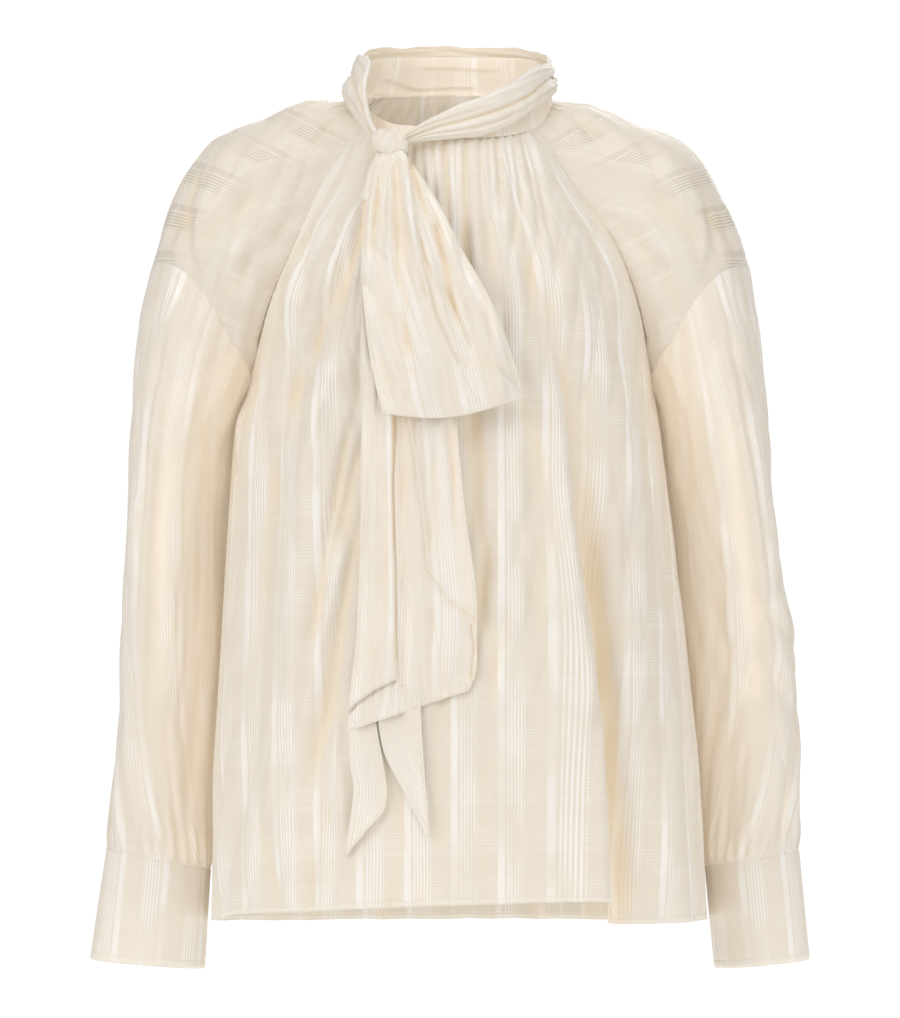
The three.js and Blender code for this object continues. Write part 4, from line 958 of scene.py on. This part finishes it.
# Creases that show inside the back of the neck: angle from the front and height share at both ends
BAND_CREASES = (
    (229, 0.46, 196, 0.20), (196, 0.20, 166, 0.24), (230, 0.10, 207, 0.02), (200, 0.74, 150, 0.68),
)
BAND_CREASE = {"width": 0.06, "rise": 2.0, "shade": 0.9}
BAND_PUCKER = 0.3
# Painted shade and glow inside the neckband at its upper edge, and how much deeper they are at the seam
BAND_SHADE = (0.45, 0.2)
NECK_LEAN = {"left": 12.0, "right": 6.0, "height": 34}


def leaned_in(points):
    """The neck draws in with height: each side moves to the middle by its lean, eased in over a height."""
    share = np.clip(points[..., 0] / NECK_OVAL["half"], -1, 1)
    lean = np.where(share < 0, NECK_LEAN["left"], NECK_LEAN["right"])
    moved = points.copy()
    moved[..., 0] -= share * lean * ease(points[..., 2] / NECK_LEAN["height"])
    return moved


turned, r = grid((0, 360, 217), (0, 1, 25))
height = along(NECK_SEAM, "angle", np.abs((turned + 540) % 360 - 180), "band")
smooth = neck_seam(turned, -BAND_LEAN * r) + xyz(0, 0, BAND_LIFT + height * r)
normal = outward(smooth, smooth * (0, 0, 1) + (0, NECK_OVAL["middle"], 0), tube=True)
u, v = lengths(smooth)
puckers = BAND_PUCKER * (np.sin(u / 1.7 + np.sin(u / 8)) * hump(v / 4) - 1)
folded, shade = np.zeros(r.shape), BAND_SHADE[0] + BAND_SHADE[1] * (1 - r)
for angle_from, from_height, angle_to, to_height in BAND_CREASES:
    share = (turned - angle_from) / (angle_to - angle_from)
    past = (r - mix(from_height, to_height, ease(share))) / BAND_CREASE["width"]
    shown = ease(share / 0.25 + 0.5) * ease((1 - share) / 0.25 + 0.5)
    folded -= BAND_CREASE["rise"] * ease(past + 0.5) * np.exp(-np.maximum(past, 0) / 3) * shown
    # Painted shade along each crease
    shade = shade + BAND_CREASE["shade"] * hump(past + 0.3) * shown
points = leaned_in(smooth + normal * (puckers + folded * ease((1 - r) / 0.1))[..., None])
band_crepe = crepe("neckband crepe", BAND_IVORY, painted_glow=BAND_PAINTED_GLOW)
neckband = cloth("neckband", points, normal, u, v, band_crepe, np.clip(shade, 0, 1), tube=True)
settle(neckband, "neckband")


# Scarf round the neck: a long strip of the same crepe, crumpled lengthwise into strands and wound once
# round the neckband. It shows in three stretches: behind the neck, from the right to the knot, and from
# the left down to the knot.
SCARF_WIDTH = 170
SCARF_THICK = 0.5
SCARF_HEM = 1.6
SCARF_CRINKLE = 0.0018
SCARF_SEE_THROUGH = 0.12
# Outside of a stretch stands off its inside by this at the edges, and by this more at its middle
SCARF_PUFF = {"edge": 0.6, "middle": 4.0}
SCARF_FULL_SHADE = 3
SCARF_STRETCHES = {
    "scarf_back": table(
        "angle low high gap", (79, -6, -28, 0.3), (86, -7, -31, 1), (105, -7, -38, 0.6), (135, -9, -44, 0.6),
        (180, -11, -47, 0.6), (225, -9, -45, 0.6), (258, -6, -38, 0.6), (266, -6, -36, 1),
        (273, -5, -34, 0.3),
    ),
    "scarf_front": table(
        "angle low high gap", (-20.8, 41, 31, 12), (-10, 38, 20, 7), (5, 36, 9, 3.5), (22, 30, -2, 2.4),
        (42, 18, -14, 2), (62, 3, -25, 1.5), (83.5, -6, -29, 1),
    ),
    "scarf_left": table(
        "angle low high gap", (-91.5, -6, -36, 1), (-78, 0, -36, 1.8), (-66, 11, -33, 2.8), (-57, 20, -27, 4),
        (-49, 28, -10, 7), (-42, 35, 14, 12), (-37, 40, 26, 16), (-33.5, 42, 31, 18.6),
    ),
}
# Grooves between the strands: height across the stretch at its start and end, width and rise, outside
# and then inside, where "from" and "to" are the places along the stretch where a groove starts and ends
SCARF_GROOVES = {
    "scarf_back": table(
        "side start end from to width rise",
        (1, 0.55, 0.45, -0.1, 1.1, 0.05, -2.0), (1, 0.25, 0.32, 0.2, 1.1, 0.04, -1.5),
        (1, 0.8, 0.7, -0.1, 0.7, 0.04, -1.4), (-1, 0.80, 0.84, -0.2, 1.2, 0.035, -2.2),
        (-1, 0.50, 0.62, 0.45, 1.2, 0.055, -3.0), (-1, 0.64, 0.30, 0.1, 0.75, 0.05, -2.4),
        (-1, 0.42, 0.46, 0.72, 1.2, 0.04, -2.2), (-1, 0.24, 0.2, -0.1, 0.6, 0.05, -1.6),
    ),
    "scarf_front": table(
        "side start end from to width rise",
        (1, 0.50, 0.50, -0.1, 1.1, 0.06, -3.4), (1, 0.30, 0.16, -0.1, 0.62, 0.045, -2.4),
        (1, 0.74, 0.60, -0.1, 0.42, 0.05, -1.8), (1, 0.14, 0.26, 0.55, 1.1, 0.03, -1.2),
        (-1, 0.5, 0.5, -0.1, 1.1, 0.06, -1.5),
    ),
    "scarf_left": table(
        "side start end from to width rise",
        (1, 0.50, 0.55, -0.1, 1.1, 0.07, -3.4), (1, 0.2, 0.28, 0.3, 1.1, 0.045, -1.8),
        (1, 0.80, 0.8, 0.4, 1.1, 0.04, -1.5),
        (-1, 0.5, 0.5, -0.1, 1.1, 0.06, -1.5),
    ),
}
# Each stretch: columns and rings of its grid, its cut, and what it lies on
SCARF_PIECES = {
    "scarf_back": (73, 97, (0.085, 0.25), ["neckband"]),
    "scarf_front": (81, 111, (0.075, 0.165), ["neckband", "front"]),
    "scarf_left": (73, 65, (0.075, 0.125), ["neckband"]),
}
SCARF_IVORY = {
    **IVORY, "ground": (0.90, 0.81, 0.68), "across": (0.92, 0.855, 0.745), "painted_shade_glow": (0.68, 0.52, 0.32),
}

scarf_crepe = crepe("scarf crepe", SCARF_IVORY, SCARF_HEM, SCARF_CRINKLE, see_through=SCARF_SEE_THROUGH)


def grooves(marks, side, place, height):
    """Grooves along a stretch on one side of it: each is a narrow trough at its own height, eased in
    and out where it starts and ends."""
    total = np.zeros(np.shape(height))
    for k in range(len(marks["rise"])):
        reach = span(place, marks["from"][k], marks["to"][k], 0.12, 0.12)
        middle = mix(marks["start"][k], marks["end"][k], place) + 0.02 * np.sin(9 * place + k)
        trough = hump((height - middle) / marks["width"][k], 1.5)
        total += np.where(side == marks["side"][k], marks["rise"][k] * trough * reach, 0)
    return total


def stretch_of_scarf(node, columns, rings):
    """Flat loop of crumpled cloth, closed round its section: up the outside from the lower edge to the
    upper one and down the inside, carried round the neck."""
    rows = SCARF_STRETCHES[node]
    section, place = grid((0, 1, columns), (0, 1, rings))
    height = 0.5 - 0.5 * np.cos(2 * np.pi * section)
    side = np.where(section < 0.5, 1, -1)
    angle = mix(rows["angle"][0], rows["angle"][-1], place)
    low, high, gap = (along(rows, "angle", angle, column) for column in ("low", "high", "gap"))
    bulge = np.sqrt(np.clip(1 - (2 * height - 1) ** 4, 0, 1))
    relief = grooves(SCARF_GROOVES[node], side, place, height) * bulge
    run = np.radians(angle) * NECK_OVAL["half"]
    ripple = 0.6 * crumple(run, 60 * section, 16, 41) + 0.5 * crumple(run * 0.3, 200 * section, 14, 43)
    ripple = ripple + 0.8 * soft_creases(180 * section + 0.2 * run, 0.5 * run, 11, 45)
    reach = np.where(side > 0, gap + SCARF_PUFF["edge"] + SCARF_PUFF["middle"] * bulge, gap)
    reach = reach + np.where(side > 0, 1, -0.6) * (relief + ripple * bulge)
    points = neck_seam(angle, np.maximum(reach, gap - 0.8)) * (1, 1, 0) - xyz(0, 0, mix(low, high, height))
    wavy = 0.7 * np.sin(run / 11 + 2) + 0.4 * np.sin(run / 5)
    points[..., 2] += wavy * np.abs(2 * height - 1) ** 3
    return section, run, relief, leaned_in(points)


for node, (columns, rings, cut, lies_on) in SCARF_PIECES.items():
    section, run, relief, points = stretch_of_scarf(node, columns, rings)
    core = points[:, :-1].mean(axis=1, keepdims=True)
    normal = outward(points, core, tube=True)
    u, v = SCARF_WIDTH * section + 6, run - run[:1]
    # Painted shade and glow in the grooves, and half of it all over the inside of each stretch
    painted_shade_depth = np.clip(-relief / SCARF_FULL_SHADE, 0, 1) ** 1.3
    painted_shade_depth = np.clip(painted_shade_depth + np.where(section < 0.5, 0, 0.5), 0, 1)
    piece = cloth(node, points, normal, u, v, scarf_crepe, painted_shade_depth, tube=True, thick=SCARF_THICK)
    settle(piece, node)


# Knot: one turn of the scarf drawn tight over the crossing of its ends, with soft pleats along it and a
# crisp folded lower edge.
KNOT = {
    "across": -47, "drop": 39.5, "lie": -88, "half": (14, 10.4, 10.4), "power": 3.1, "tilt": 0.16,
    "round": 70, "length": 60, "painted_shade_depth": 1.4,
}
KNOT_PLEATS = table(
    "lean width rise",
    (-0.85, 0.10, -0.8), (-0.42, 0.12, -1.2), (0.02, 0.10, -0.7), (0.38, 0.12, -1.1), (0.8, 0.10, -0.8),
)

turned, across = grid((0, 1, 73), (0.012, 0.988, 45))
lean, swing = np.pi * (across - 0.5), 2 * np.pi * turned
ball = xyz(np.sin(lean), -np.cos(lean) * np.sin(swing), -np.cos(lean) * np.cos(swing))
ball /= (np.abs(ball) ** KNOT["power"]).sum(-1, keepdims=True) ** (1 / KNOT["power"])
pleats = np.zeros(turned.shape)
for k in range(len(KNOT_PLEATS["rise"])):
    bowed = KNOT_PLEATS["lean"][k] - 0.25 * np.cos(swing) + 0.12 * np.sin(2 * swing + 2 * k)
    pleat = KNOT_PLEATS["rise"][k] * hump((lean - bowed) / KNOT_PLEATS["width"][k])
    pleats += pleat * ease((0.42 - np.abs(turned - 0.22)) / 0.2)
knot_core = np.array([KNOT["across"], KNOT["lie"], -KNOT["drop"]])
points = ball * (np.array(KNOT["half"]) + pleats[..., None]) + knot_core
points[..., 2] -= KNOT["tilt"] * (points[..., 0] - KNOT["across"])
normal = outward(points, knot_core, tube=True)
u, v = KNOT["round"] * turned, KNOT["length"] * across + 4
# Painted shade and glow in the hollows between the pleats
shade = painted_shade_of(pleats, KNOT["painted_shade_depth"])
knot = cloth("knot", points, normal, u, v, scarf_crepe, shade, tube=True, thick=SCARF_THICK)
settle(knot, "knot")


# Bow: one loop and one long end of the scarf hang from the knot in front of the blouse. The loop goes
# down, folds back at the bottom and comes up behind, its edges finished with a narrow rolled hem.
LOOP_WIDTH = 112
LOOP_BELLY = 2.5
BOW_CREASE_SHARE = 1.2
LOOP_BOW = 9
# Steps of the loop's folded layers, in millimetres, and the painted shades beside two of them
LOOP_STEPS = {"edge": 4.2, "corner": 1.6, "lobe": 3}
LOOP_SHADES = {"edge": 0.75, "lobe": 0.9}
LAP_WIDTH = 1.4
BOW_FULL_SHADE = 3.2
LOOP = table(
    "along left right leftDrop rightDrop out",
    (0, -58, -37, 48, 46, 13), (0.06, -65, -27, 64, 60, 19), (0.13, -68, -14, 85, 79, 21),
    (0.26, -69, 8, 134, 122, 22), (0.38, -65, 38, 190, 178, 22), (0.47, -54, 55, 246, 232, 21),
    (0.5, -51, 56, 253, 240, 17), (0.53, -52, 54, 246, 233, 13), (0.62, -60, 35, 190, 180, 12),
    (0.74, -63, 7, 134, 124, 12), (0.87, -61, -17, 85, 82, 11), (0.94, -56, -30, 63, 62, 8),
    (1, -51, -43, 46, 46, 7),
)
# Creases of the loop as seen from the front
LOOP_CREASES = table(
    "x0 drop0 x1 drop1 bow width rise",
    (-50, 46, -62, 150, -2, 2.2, -3.4), (-47, 46, -52, 130, -1, 2.2, -2.6),
    (-44, 46, -40, 180, 1, 3.2, -3.8), (-42, 46, -33, 150, 1, 2.4, -2.4), (-55, 46, -66, 140, -2, 2.4, 2.2),
    (-48.5, 46, -47, 170, 0, 3.4, 2.4), (-36, 60, -20, 190, 0, 3.2, 2.6),
    (-37, 110, -34, 240, 2, 5.5, -3.0), (-58, 130, -50, 250, -3, 6.0, 2.4),
    (-22, 200, -20, 262, 1, 6.0, 2.2), (-8, 215, -6, 262, 1, 5.0, -2.0),
    (-30, 215, -36, 262, -1, 5.0, -1.8), (-33, 52, -16, 110, 1, 2.0, -2.6), (-24, 66, 2, 150, 2, 2.6, 2.6),
    (-21, 74, -3, 128, 2, 2.2, -3.6), (-13, 100, 10, 205, 1, 3.0, -4.2), (-2, 110, 26, 214, 2, 3.4, 2.6),
    (-16, 128, 4, 205, 0, 2.4, 2.0), (18, 150, 40, 216, 2, 3.6, -2.2), (-6, 150, 22, 216, 1, 2.2, -3.0),
)
LOOP_EDGE = (
    (-34, 44), (-29.4, 85.8), (-26, 118), (-20.6, 140), (-13, 174.5), (-3.3, 196), (5.4, 215.6),
    (35.8, 216.6), (56, 238),
)
LOOP_CORNER = ((5.4, 215.6), (15.1, 233), (26, 250), (28, 258))
LOBE_EDGE = ((-54, 50), (-57, 78), (-65, 86), (-66, 100), (-64.5, 140))


def front_face(across, drop):
    """Fore and aft place of the folded front at a place seen from the front: the angle on its oval gives
    the panel's own two places, and its folds lie on that."""
    side = np.where(across < 0, -1, 1)
    half = seam_half(FRONT_SECTIONS, side, drop)
    angle = np.degrees(np.arcsin(np.clip(np.abs(across) / half, 0, 1) ** (OVAL_POWER / 2)))
    s = side * angle / along(FRONT_SECTIONS, "drop", drop, "angle")
    top = mix(FRONT_TOP["middle"], FRONT_TOP["seam"], s * s)
    hem = along(HEM, "angle", s * 90, "drop")
    above, below = (drop - top) / (UNDERARM_DROP - top), (drop - UNDERARM_DROP) / (hem - UNDERARM_DROP)
    level = np.clip(np.where(drop < UNDERARM_DROP, above, 1 + below), 0, 2)
    return panel(-1, FRONT_SECTIONS, FRONT_TOP, s, level)[..., 1] - body_folds(BODY_FOLDS, s * 90, drop, s)


def strip(rows, c, r, out):
    """Hanging strip: straight across between its two edges and a distance in front of the front."""
    across = mix(along(rows, "along", r, "left"), along(rows, "along", r, "right"), c)
    drop = mix(along(rows, "along", r, "leftDrop"), along(rows, "along", r, "rightDrop"), c)
    return xyz(across, front_face(across, np.maximum(drop, 60)) - out, -drop)


def past_line(across, drop, places):
    """Distance from a bent line seen from the front: to its nearest stretch, plus on the right of its
    way down and minus on the left."""
    start, end = np.array(places[:-1], float), np.array(places[1:], float)
    way = end - start
    seen = np.stack([across, drop], axis=-1)[..., None, :] - start
    share = np.clip((seen * way).sum(-1) / (way**2).sum(-1), 0, 1)
    off = seen - share[..., None] * way
    apart = np.linalg.norm(off, axis=-1)
    turn = way[:, 1] * seen[..., 0] - way[:, 0] * seen[..., 1]
    nearest = apart.argmin(-1)[..., None]
    apart = np.take_along_axis(apart, nearest, -1)[..., 0]
    return apart * np.where(np.take_along_axis(turn, nearest, -1)[..., 0] > 0, 1, -1)


def lap(past, rise, roll):
    """Edge of a layer that lies on another: a step down by its rise, with a rolled hem along it."""
    return -rise * ease(past / LAP_WIDTH) + roll * hump((past + 0.9) / 0.9)


def beside(past, reach):
    """Painted shade beside the edge of a layer: full at the foot of the step and fading over its reach."""
    return np.where(past > 0, ease(past / 1.0) * np.exp(-past / reach), 0)


c, r = grid((0, 1, 125), (0, 0.46, 215), (0.463, 0.54, 26), (0.56, 1, 22))
belly = LOOP_BELLY * np.sin(np.pi * c) * np.sin(2 * np.pi * r)
smooth = strip(LOOP, c, r, along(LOOP, "along", r, "out") + belly)
smooth = smooth - xyz(0, 0, LOOP_BOW * np.sin(np.pi * c) * ease((-smooth[..., 2] - 190) / 50))
across, drop = smooth[..., 0], -smooth[..., 2]
in_front = ease((0.49 - r) / 0.03)
layer_edges = (LOOP_EDGE, LOOP_CORNER, LOBE_EDGE)
edge_past, corner_past, lobe_past = (past_line(across, drop, edge) for edge in layer_edges)
near_corner = ease((drop - 212) / 6) * ease((across - 2) / 4)
waves = 0.8 * crumple(across, drop, 24, 51) + 1.8 * soft_creases(across - 0.35 * drop, drop, 20, 53)
waves = waves + 0.9 * soft_creases(across - 0.25 * drop, 0.5 * drop, 9, 57)
fine = BOW_CREASE_SHARE * creases(LOOP_CREASES, across, drop) + waves * ease((drop - 60) / 40)
corner = near_corner * lap(corner_past, LOOP_STEPS["corner"], -0.4) * ease((250 - drop) / 4)
beside_lobe = span(drop, 84, 142, 3, 40)
laps = lap(edge_past, LOOP_STEPS["edge"], 1.0) - corner
laps = laps - LOOP_STEPS["lobe"] * hump((lobe_past + 1.5) / 1.8) * beside_lobe
fine = (fine * ease(r / 0.02 + 0.2) + laps) * in_front
forward = xyz(0, -1, 0)
points = smooth + forward * fine[..., None]
normal = outward(points, strip(LOOP, c, r, 17) + (0, 0, 6))
# Painted shade and glow in the creases, beside the layer's edge and beside the lobe
shade = painted_shade_of(fine + LOOP_STEPS["edge"] * ease(edge_past / LAP_WIDTH) * in_front, BOW_FULL_SHADE)
edge_shade = LOOP_SHADES["edge"] * beside(edge_past, 3) * ease((235 - drop) / 20)
lobe_shade = LOOP_SHADES["lobe"] * hump((lobe_past + 1.5) / 2.4) * beside_lobe
shade = np.clip(shade + in_front * (edge_shade + lobe_shade), 0, 1)
u, v = LOOP_WIDTH * c + 9, lengths(smooth)[1]
edge = np.minimum(c, 1 - c) * 100
loop = cloth("bow_loop", points, normal, u, v, scarf_crepe, shade, edge=edge, thick=SCARF_THICK)
settle(loop, "bow_loop")

# Long end: the scarf's end hangs out below the loop in deep folds, its edge folded over to the front,
# and ends in a slanting rolled hem.
TAIL_WIDTH = 96
TAIL_WAVES = ((0.8, 26, 61), (1.6, 19, 63))
TAIL_FOLD = 1.5
# Steps of the long end's folded layers, and how far its front stands off below the loop
TAIL_STEPS = {"front": 4, "foot": 2.6, "hem": 3.2, "slot": 2.4, "lift": 3}
# Painted shades beside the hem's edge, in the slot and between the layers
TAIL_SHADES = {"hem": 0.5, "slot": 0.8, "between": 0.15}
TAIL = table(
    "along left right leftDrop rightDrop out",
    (0, -53, -41, 46, 46, 2.5), (0.06, -64, -30, 75, 75, 4.5), (0.25, -71, -8, 160, 160, 7),
    (0.5, -69, 5, 262, 260, 8), (0.65, -69.5, 11, 330, 322, 8), (0.85, -73, 21, 425, 408, 8),
    (0.95, -79, 21, 483, 448, 8), (1, -80, 15, 500, 468, 8),
)
TAIL_CREASES = table(
    "x0 drop0 x1 drop1 bow width rise",
    (-58, 200, -60, 470, 1, 5.0, 2.2), (-50, 240, -52, 470, -1, 3.4, -1.4),
    (-66, 240, -70, 470, 0, 3.0, -1.2), (-38, 240, -34, 500, 1, 5.0, -3.2),
    (-26, 300, -20, 470, 1, 5.0, 1.6), (-10, 250, -6, 390, 1, 6.0, 2.0), (-2, 250, 8, 400, 1, 4.0, -1.6),
    (-12, 396, -20, 500, 0, 5.0, -1.6), (4, 402, -2, 490, 0, 5.0, 2.0), (-22, 318, -16, 372, 3, 2.2, -1.4),
    (-24, 284, -17, 340, -2, 2.0, 1.2), (-42, 60, -38, 240, 1, 4.0, -2.0),
)
TAIL_FRONT_EDGE = (
    (-46, 180), (-44.8, 246), (-46.4, 306.7), (-44.8, 372), (-43.2, 459), (-57.8, 466), (-74, 477),
    (-84, 488),
)
TAIL_HEM_EDGE = (
    (-40, 200), (-31.9, 258.4), (-23.4, 306.7), (-18.7, 352.7), (-17.1, 372.2), (0.8, 396.3), (21.8, 412.7),
    (40, 424),
)
TAIL_SLOT = ((16.5, 418), (18.5, 436), (16.5, 458))

c, r = grid((0, 1, 115), (0, 0.4, 26), (0.403, 1, 222))
fold = TAIL_FOLD * ease(6 * r) * np.cos(2 * np.pi * (1.9 * c + 0.1))
smooth = strip(TAIL, c, r, along(TAIL, "along", r, "out") + fold)
across, drop = smooth[..., 0], -smooth[..., 2]
front_past = past_line(across, drop, TAIL_FRONT_EDGE)
hem_past = -past_line(across, drop, TAIL_HEM_EDGE)
slot = hump(past_line(across, drop, TAIL_SLOT) / 1.2)
below = ease((drop - 150) / 40)
waves = uneven(across, drop, TAIL_WAVES) + 0.7 * soft_creases(across + 0.05 * drop, 0.5 * drop, 9, 67)
fine = (BOW_CREASE_SHARE * creases(TAIL_CREASES, across, drop) + waves) * below
laps = lap(front_past, TAIL_STEPS["front"], 0.6) - TAIL_STEPS["foot"] * hump((front_past - 2.0) / 1.2)
laps = laps + lap(hem_past, TAIL_STEPS["hem"], 1.2) * ease((across + 42) / 4) - TAIL_STEPS["slot"] * slot
points = smooth + forward * (fine + laps * below + TAIL_STEPS["lift"] * below)[..., None]
normal = outward(points, smooth + (0, 10, 0))
# Painted shade and glow in the creases, beside the folded edges, in the slot and between the layers
shade = painted_shade_of(fine, BOW_FULL_SHADE) + beside(front_past, 2.6) * ease((462 - drop) / 30)
shade = shade + TAIL_SHADES["hem"] * beside(hem_past, 3) + TAIL_SHADES["slot"] * slot
between = span(across, -47, -22, 3, 10) * ease((380 - drop) / 90)
shade = np.clip((shade + TAIL_SHADES["between"] * between) * below, 0, 1)
u, v = TAIL_WIDTH * c + 12, lengths(smooth)[1]
edge = np.minimum(v[-1:] - v, 100 * np.minimum(c, 1 - c))
tail = cloth("tail", points, normal, u, v, scarf_crepe, shade, edge=edge, thick=SCARF_THICK)
settle(tail, "tail")

# Corners of the long end: two pointed flaps of the same crepe that hang out below its hem, curling a
# little, with rolled edges.
TIP_OUT = 4.3
TIP_FULL_SHADE = 3.5
TIPS = {
    "left": table(
        "along left right leftDrop rightDrop",
        (0, -76, -60, 478, 470), (0.22, -79, -57, 503, 497), (0.42, -78, -52, 522, 524),
        (0.62, -75, -49, 545, 548), (0.72, -76, -50, 556, 558), (0.86, -79, -66, 577, 578),
        (1, -83, -80, 597, 595),
    ),
    "right": table(
        "along left right leftDrop rightDrop",
        (0, -58, -24, 470, 462), (0.35, -53, -22, 510, 498), (0.7, -37, -19, 545, 540),
        (1, -18, -15.5, 581, 580),
    ),
}
TIP_CURL = {"left": 0.2, "right": 0.8, "rise": 1.6}

for side, rows in TIPS.items():
    c, r = grid((0, 1, 41), (0, 1, 73))
    smooth = strip(rows, c, r, TIP_OUT)
    curl = TIP_CURL["rise"] * np.sin(np.pi * (1.3 * c + 0.9 * r + TIP_CURL[side])) * ease(r / 0.2)
    fine = curl + 0.4 * crumple(smooth[..., 0], -smooth[..., 2], 15, 71)
    points = smooth + forward * fine[..., None]
    normal = outward(points, smooth + (0, 10, 0))
    u, v = lengths(smooth)
    edge, u = np.minimum(u, u[:, -1:] - u), u + 3
    # Painted shade and glow in the tips' hollows
    node, shade = "tail_tip_" + side, painted_shade_of(fine, TIP_FULL_SHADE)
    piece = cloth(node, points, normal, u, v, scarf_crepe, shade, edge=edge, thick=SCARF_THICK)
    settle(piece, node)


# Studio: a pale floor below the blouse, soft light from the upper left, the right, above and behind, a
# small lamp before the neck and one inside it, and a white surround. The camera stands in front at the
# level of the blouse's middle.
FLOOR_LEVEL = -0.93
CAMERA_HEIGHT = -0.3272
CAMERA_AWAY = 5.0
VIEW_HEIGHT = 0.8144
SENSOR = 36
FLOOR_HALF = 2.3
FLOOR_LOOK = {
    "Base Color": (0.9, 0.9, 0.9, 1), "Roughness": 0.9, "Emission Color": (1, 1, 1, 1),
    "Emission Strength": 0.35,
}
# Brightness of the surround as it lights the blouse, and as the camera sees it
SURROUND = (0.43, 1.05)
# Each lamp's place, what it faces, its size and its power
LAMPS = {
    "key": ((-2.5, -2.6, 1.25), (0, 0, -0.3), 2.2, 46),
    "fill": ((2.8, -2.4, 0.1), (0, 0, -0.35), 2.4, 23),
    "neck": ((-0.05, -0.75, 0.5), (0, 0.04, -0.02), 0.35, 0.4),
    "inside": ((0, -0.045, -0.03), (0, 0.09, -0.01), 0.08, 0.04),
    "top": ((0.2, -0.7, 1.5), (0, 0, -0.2), 1.4, 10),
    "back": ((0.6, 2.6, 1.2), (0, 0, -0.3), 2.0, 36),
}

floor_mesh = bpy.data.meshes.new("floor")
corners = ((-1, -1), (1, -1), (1, 1), (-1, 1))
floor_corners = [(FLOOR_HALF * x, FLOOR_HALF * y, FLOOR_LEVEL) for x, y in corners]
floor_mesh.from_pydata(floor_corners, [], [(0, 1, 2, 3)])
floor = bpy.data.objects.new("floor", floor_mesh)
bpy.context.scene.collection.objects.link(floor)
floor_paint = bpy.data.materials.new("pale floor")
floor_paint.use_nodes = True
floor_shader = floor_paint.node_tree.nodes["Principled BSDF"]
connect(floor_paint.node_tree, floor_shader, FLOOR_LOOK)
floor_mesh.materials.append(floor_paint)

for name, (place, aim, size, power) in LAMPS.items():
    lamp = bpy.data.lights.new(name, "AREA")
    lamp.size = size
    lamp.energy = power
    light = bpy.data.objects.new(name, lamp)
    light.location = place
    turn = (np.array(aim) - np.array(place)).tolist()
    light.rotation_euler = mathutils.Vector(turn).to_track_quat("-Z", "Y").to_euler()
    light.visible_camera = False
    bpy.context.scene.collection.objects.link(light)

world = bpy.data.worlds.new("white surround")
bpy.context.scene.world = world
world.use_nodes = True
surround = world.node_tree
seen = surround.nodes.new("ShaderNodeLightPath").outputs["Is Camera Ray"]
brightness = {"Value": seen, "To Min": SURROUND[0], "To Max": SURROUND[1]}
strength = connect(surround, surround.nodes.new("ShaderNodeMapRange"), brightness)["Result"]
connect(surround, surround.nodes["Background"], {"Color": (1, 1, 1, 1), "Strength": strength})
bpy.context.scene.view_settings.view_transform = "Standard"

camera_lens = bpy.data.cameras.new("camera")
camera_lens.sensor_width = SENSOR
camera_lens.lens = SENSOR * CAMERA_AWAY / VIEW_HEIGHT
camera = bpy.data.objects.new("camera", camera_lens)
camera.location = (0, -CAMERA_AWAY, CAMERA_HEIGHT)
camera.rotation_euler = (np.pi / 2, 0, 0)
bpy.context.scene.collection.objects.link(camera)
bpy.context.scene.camera = camera
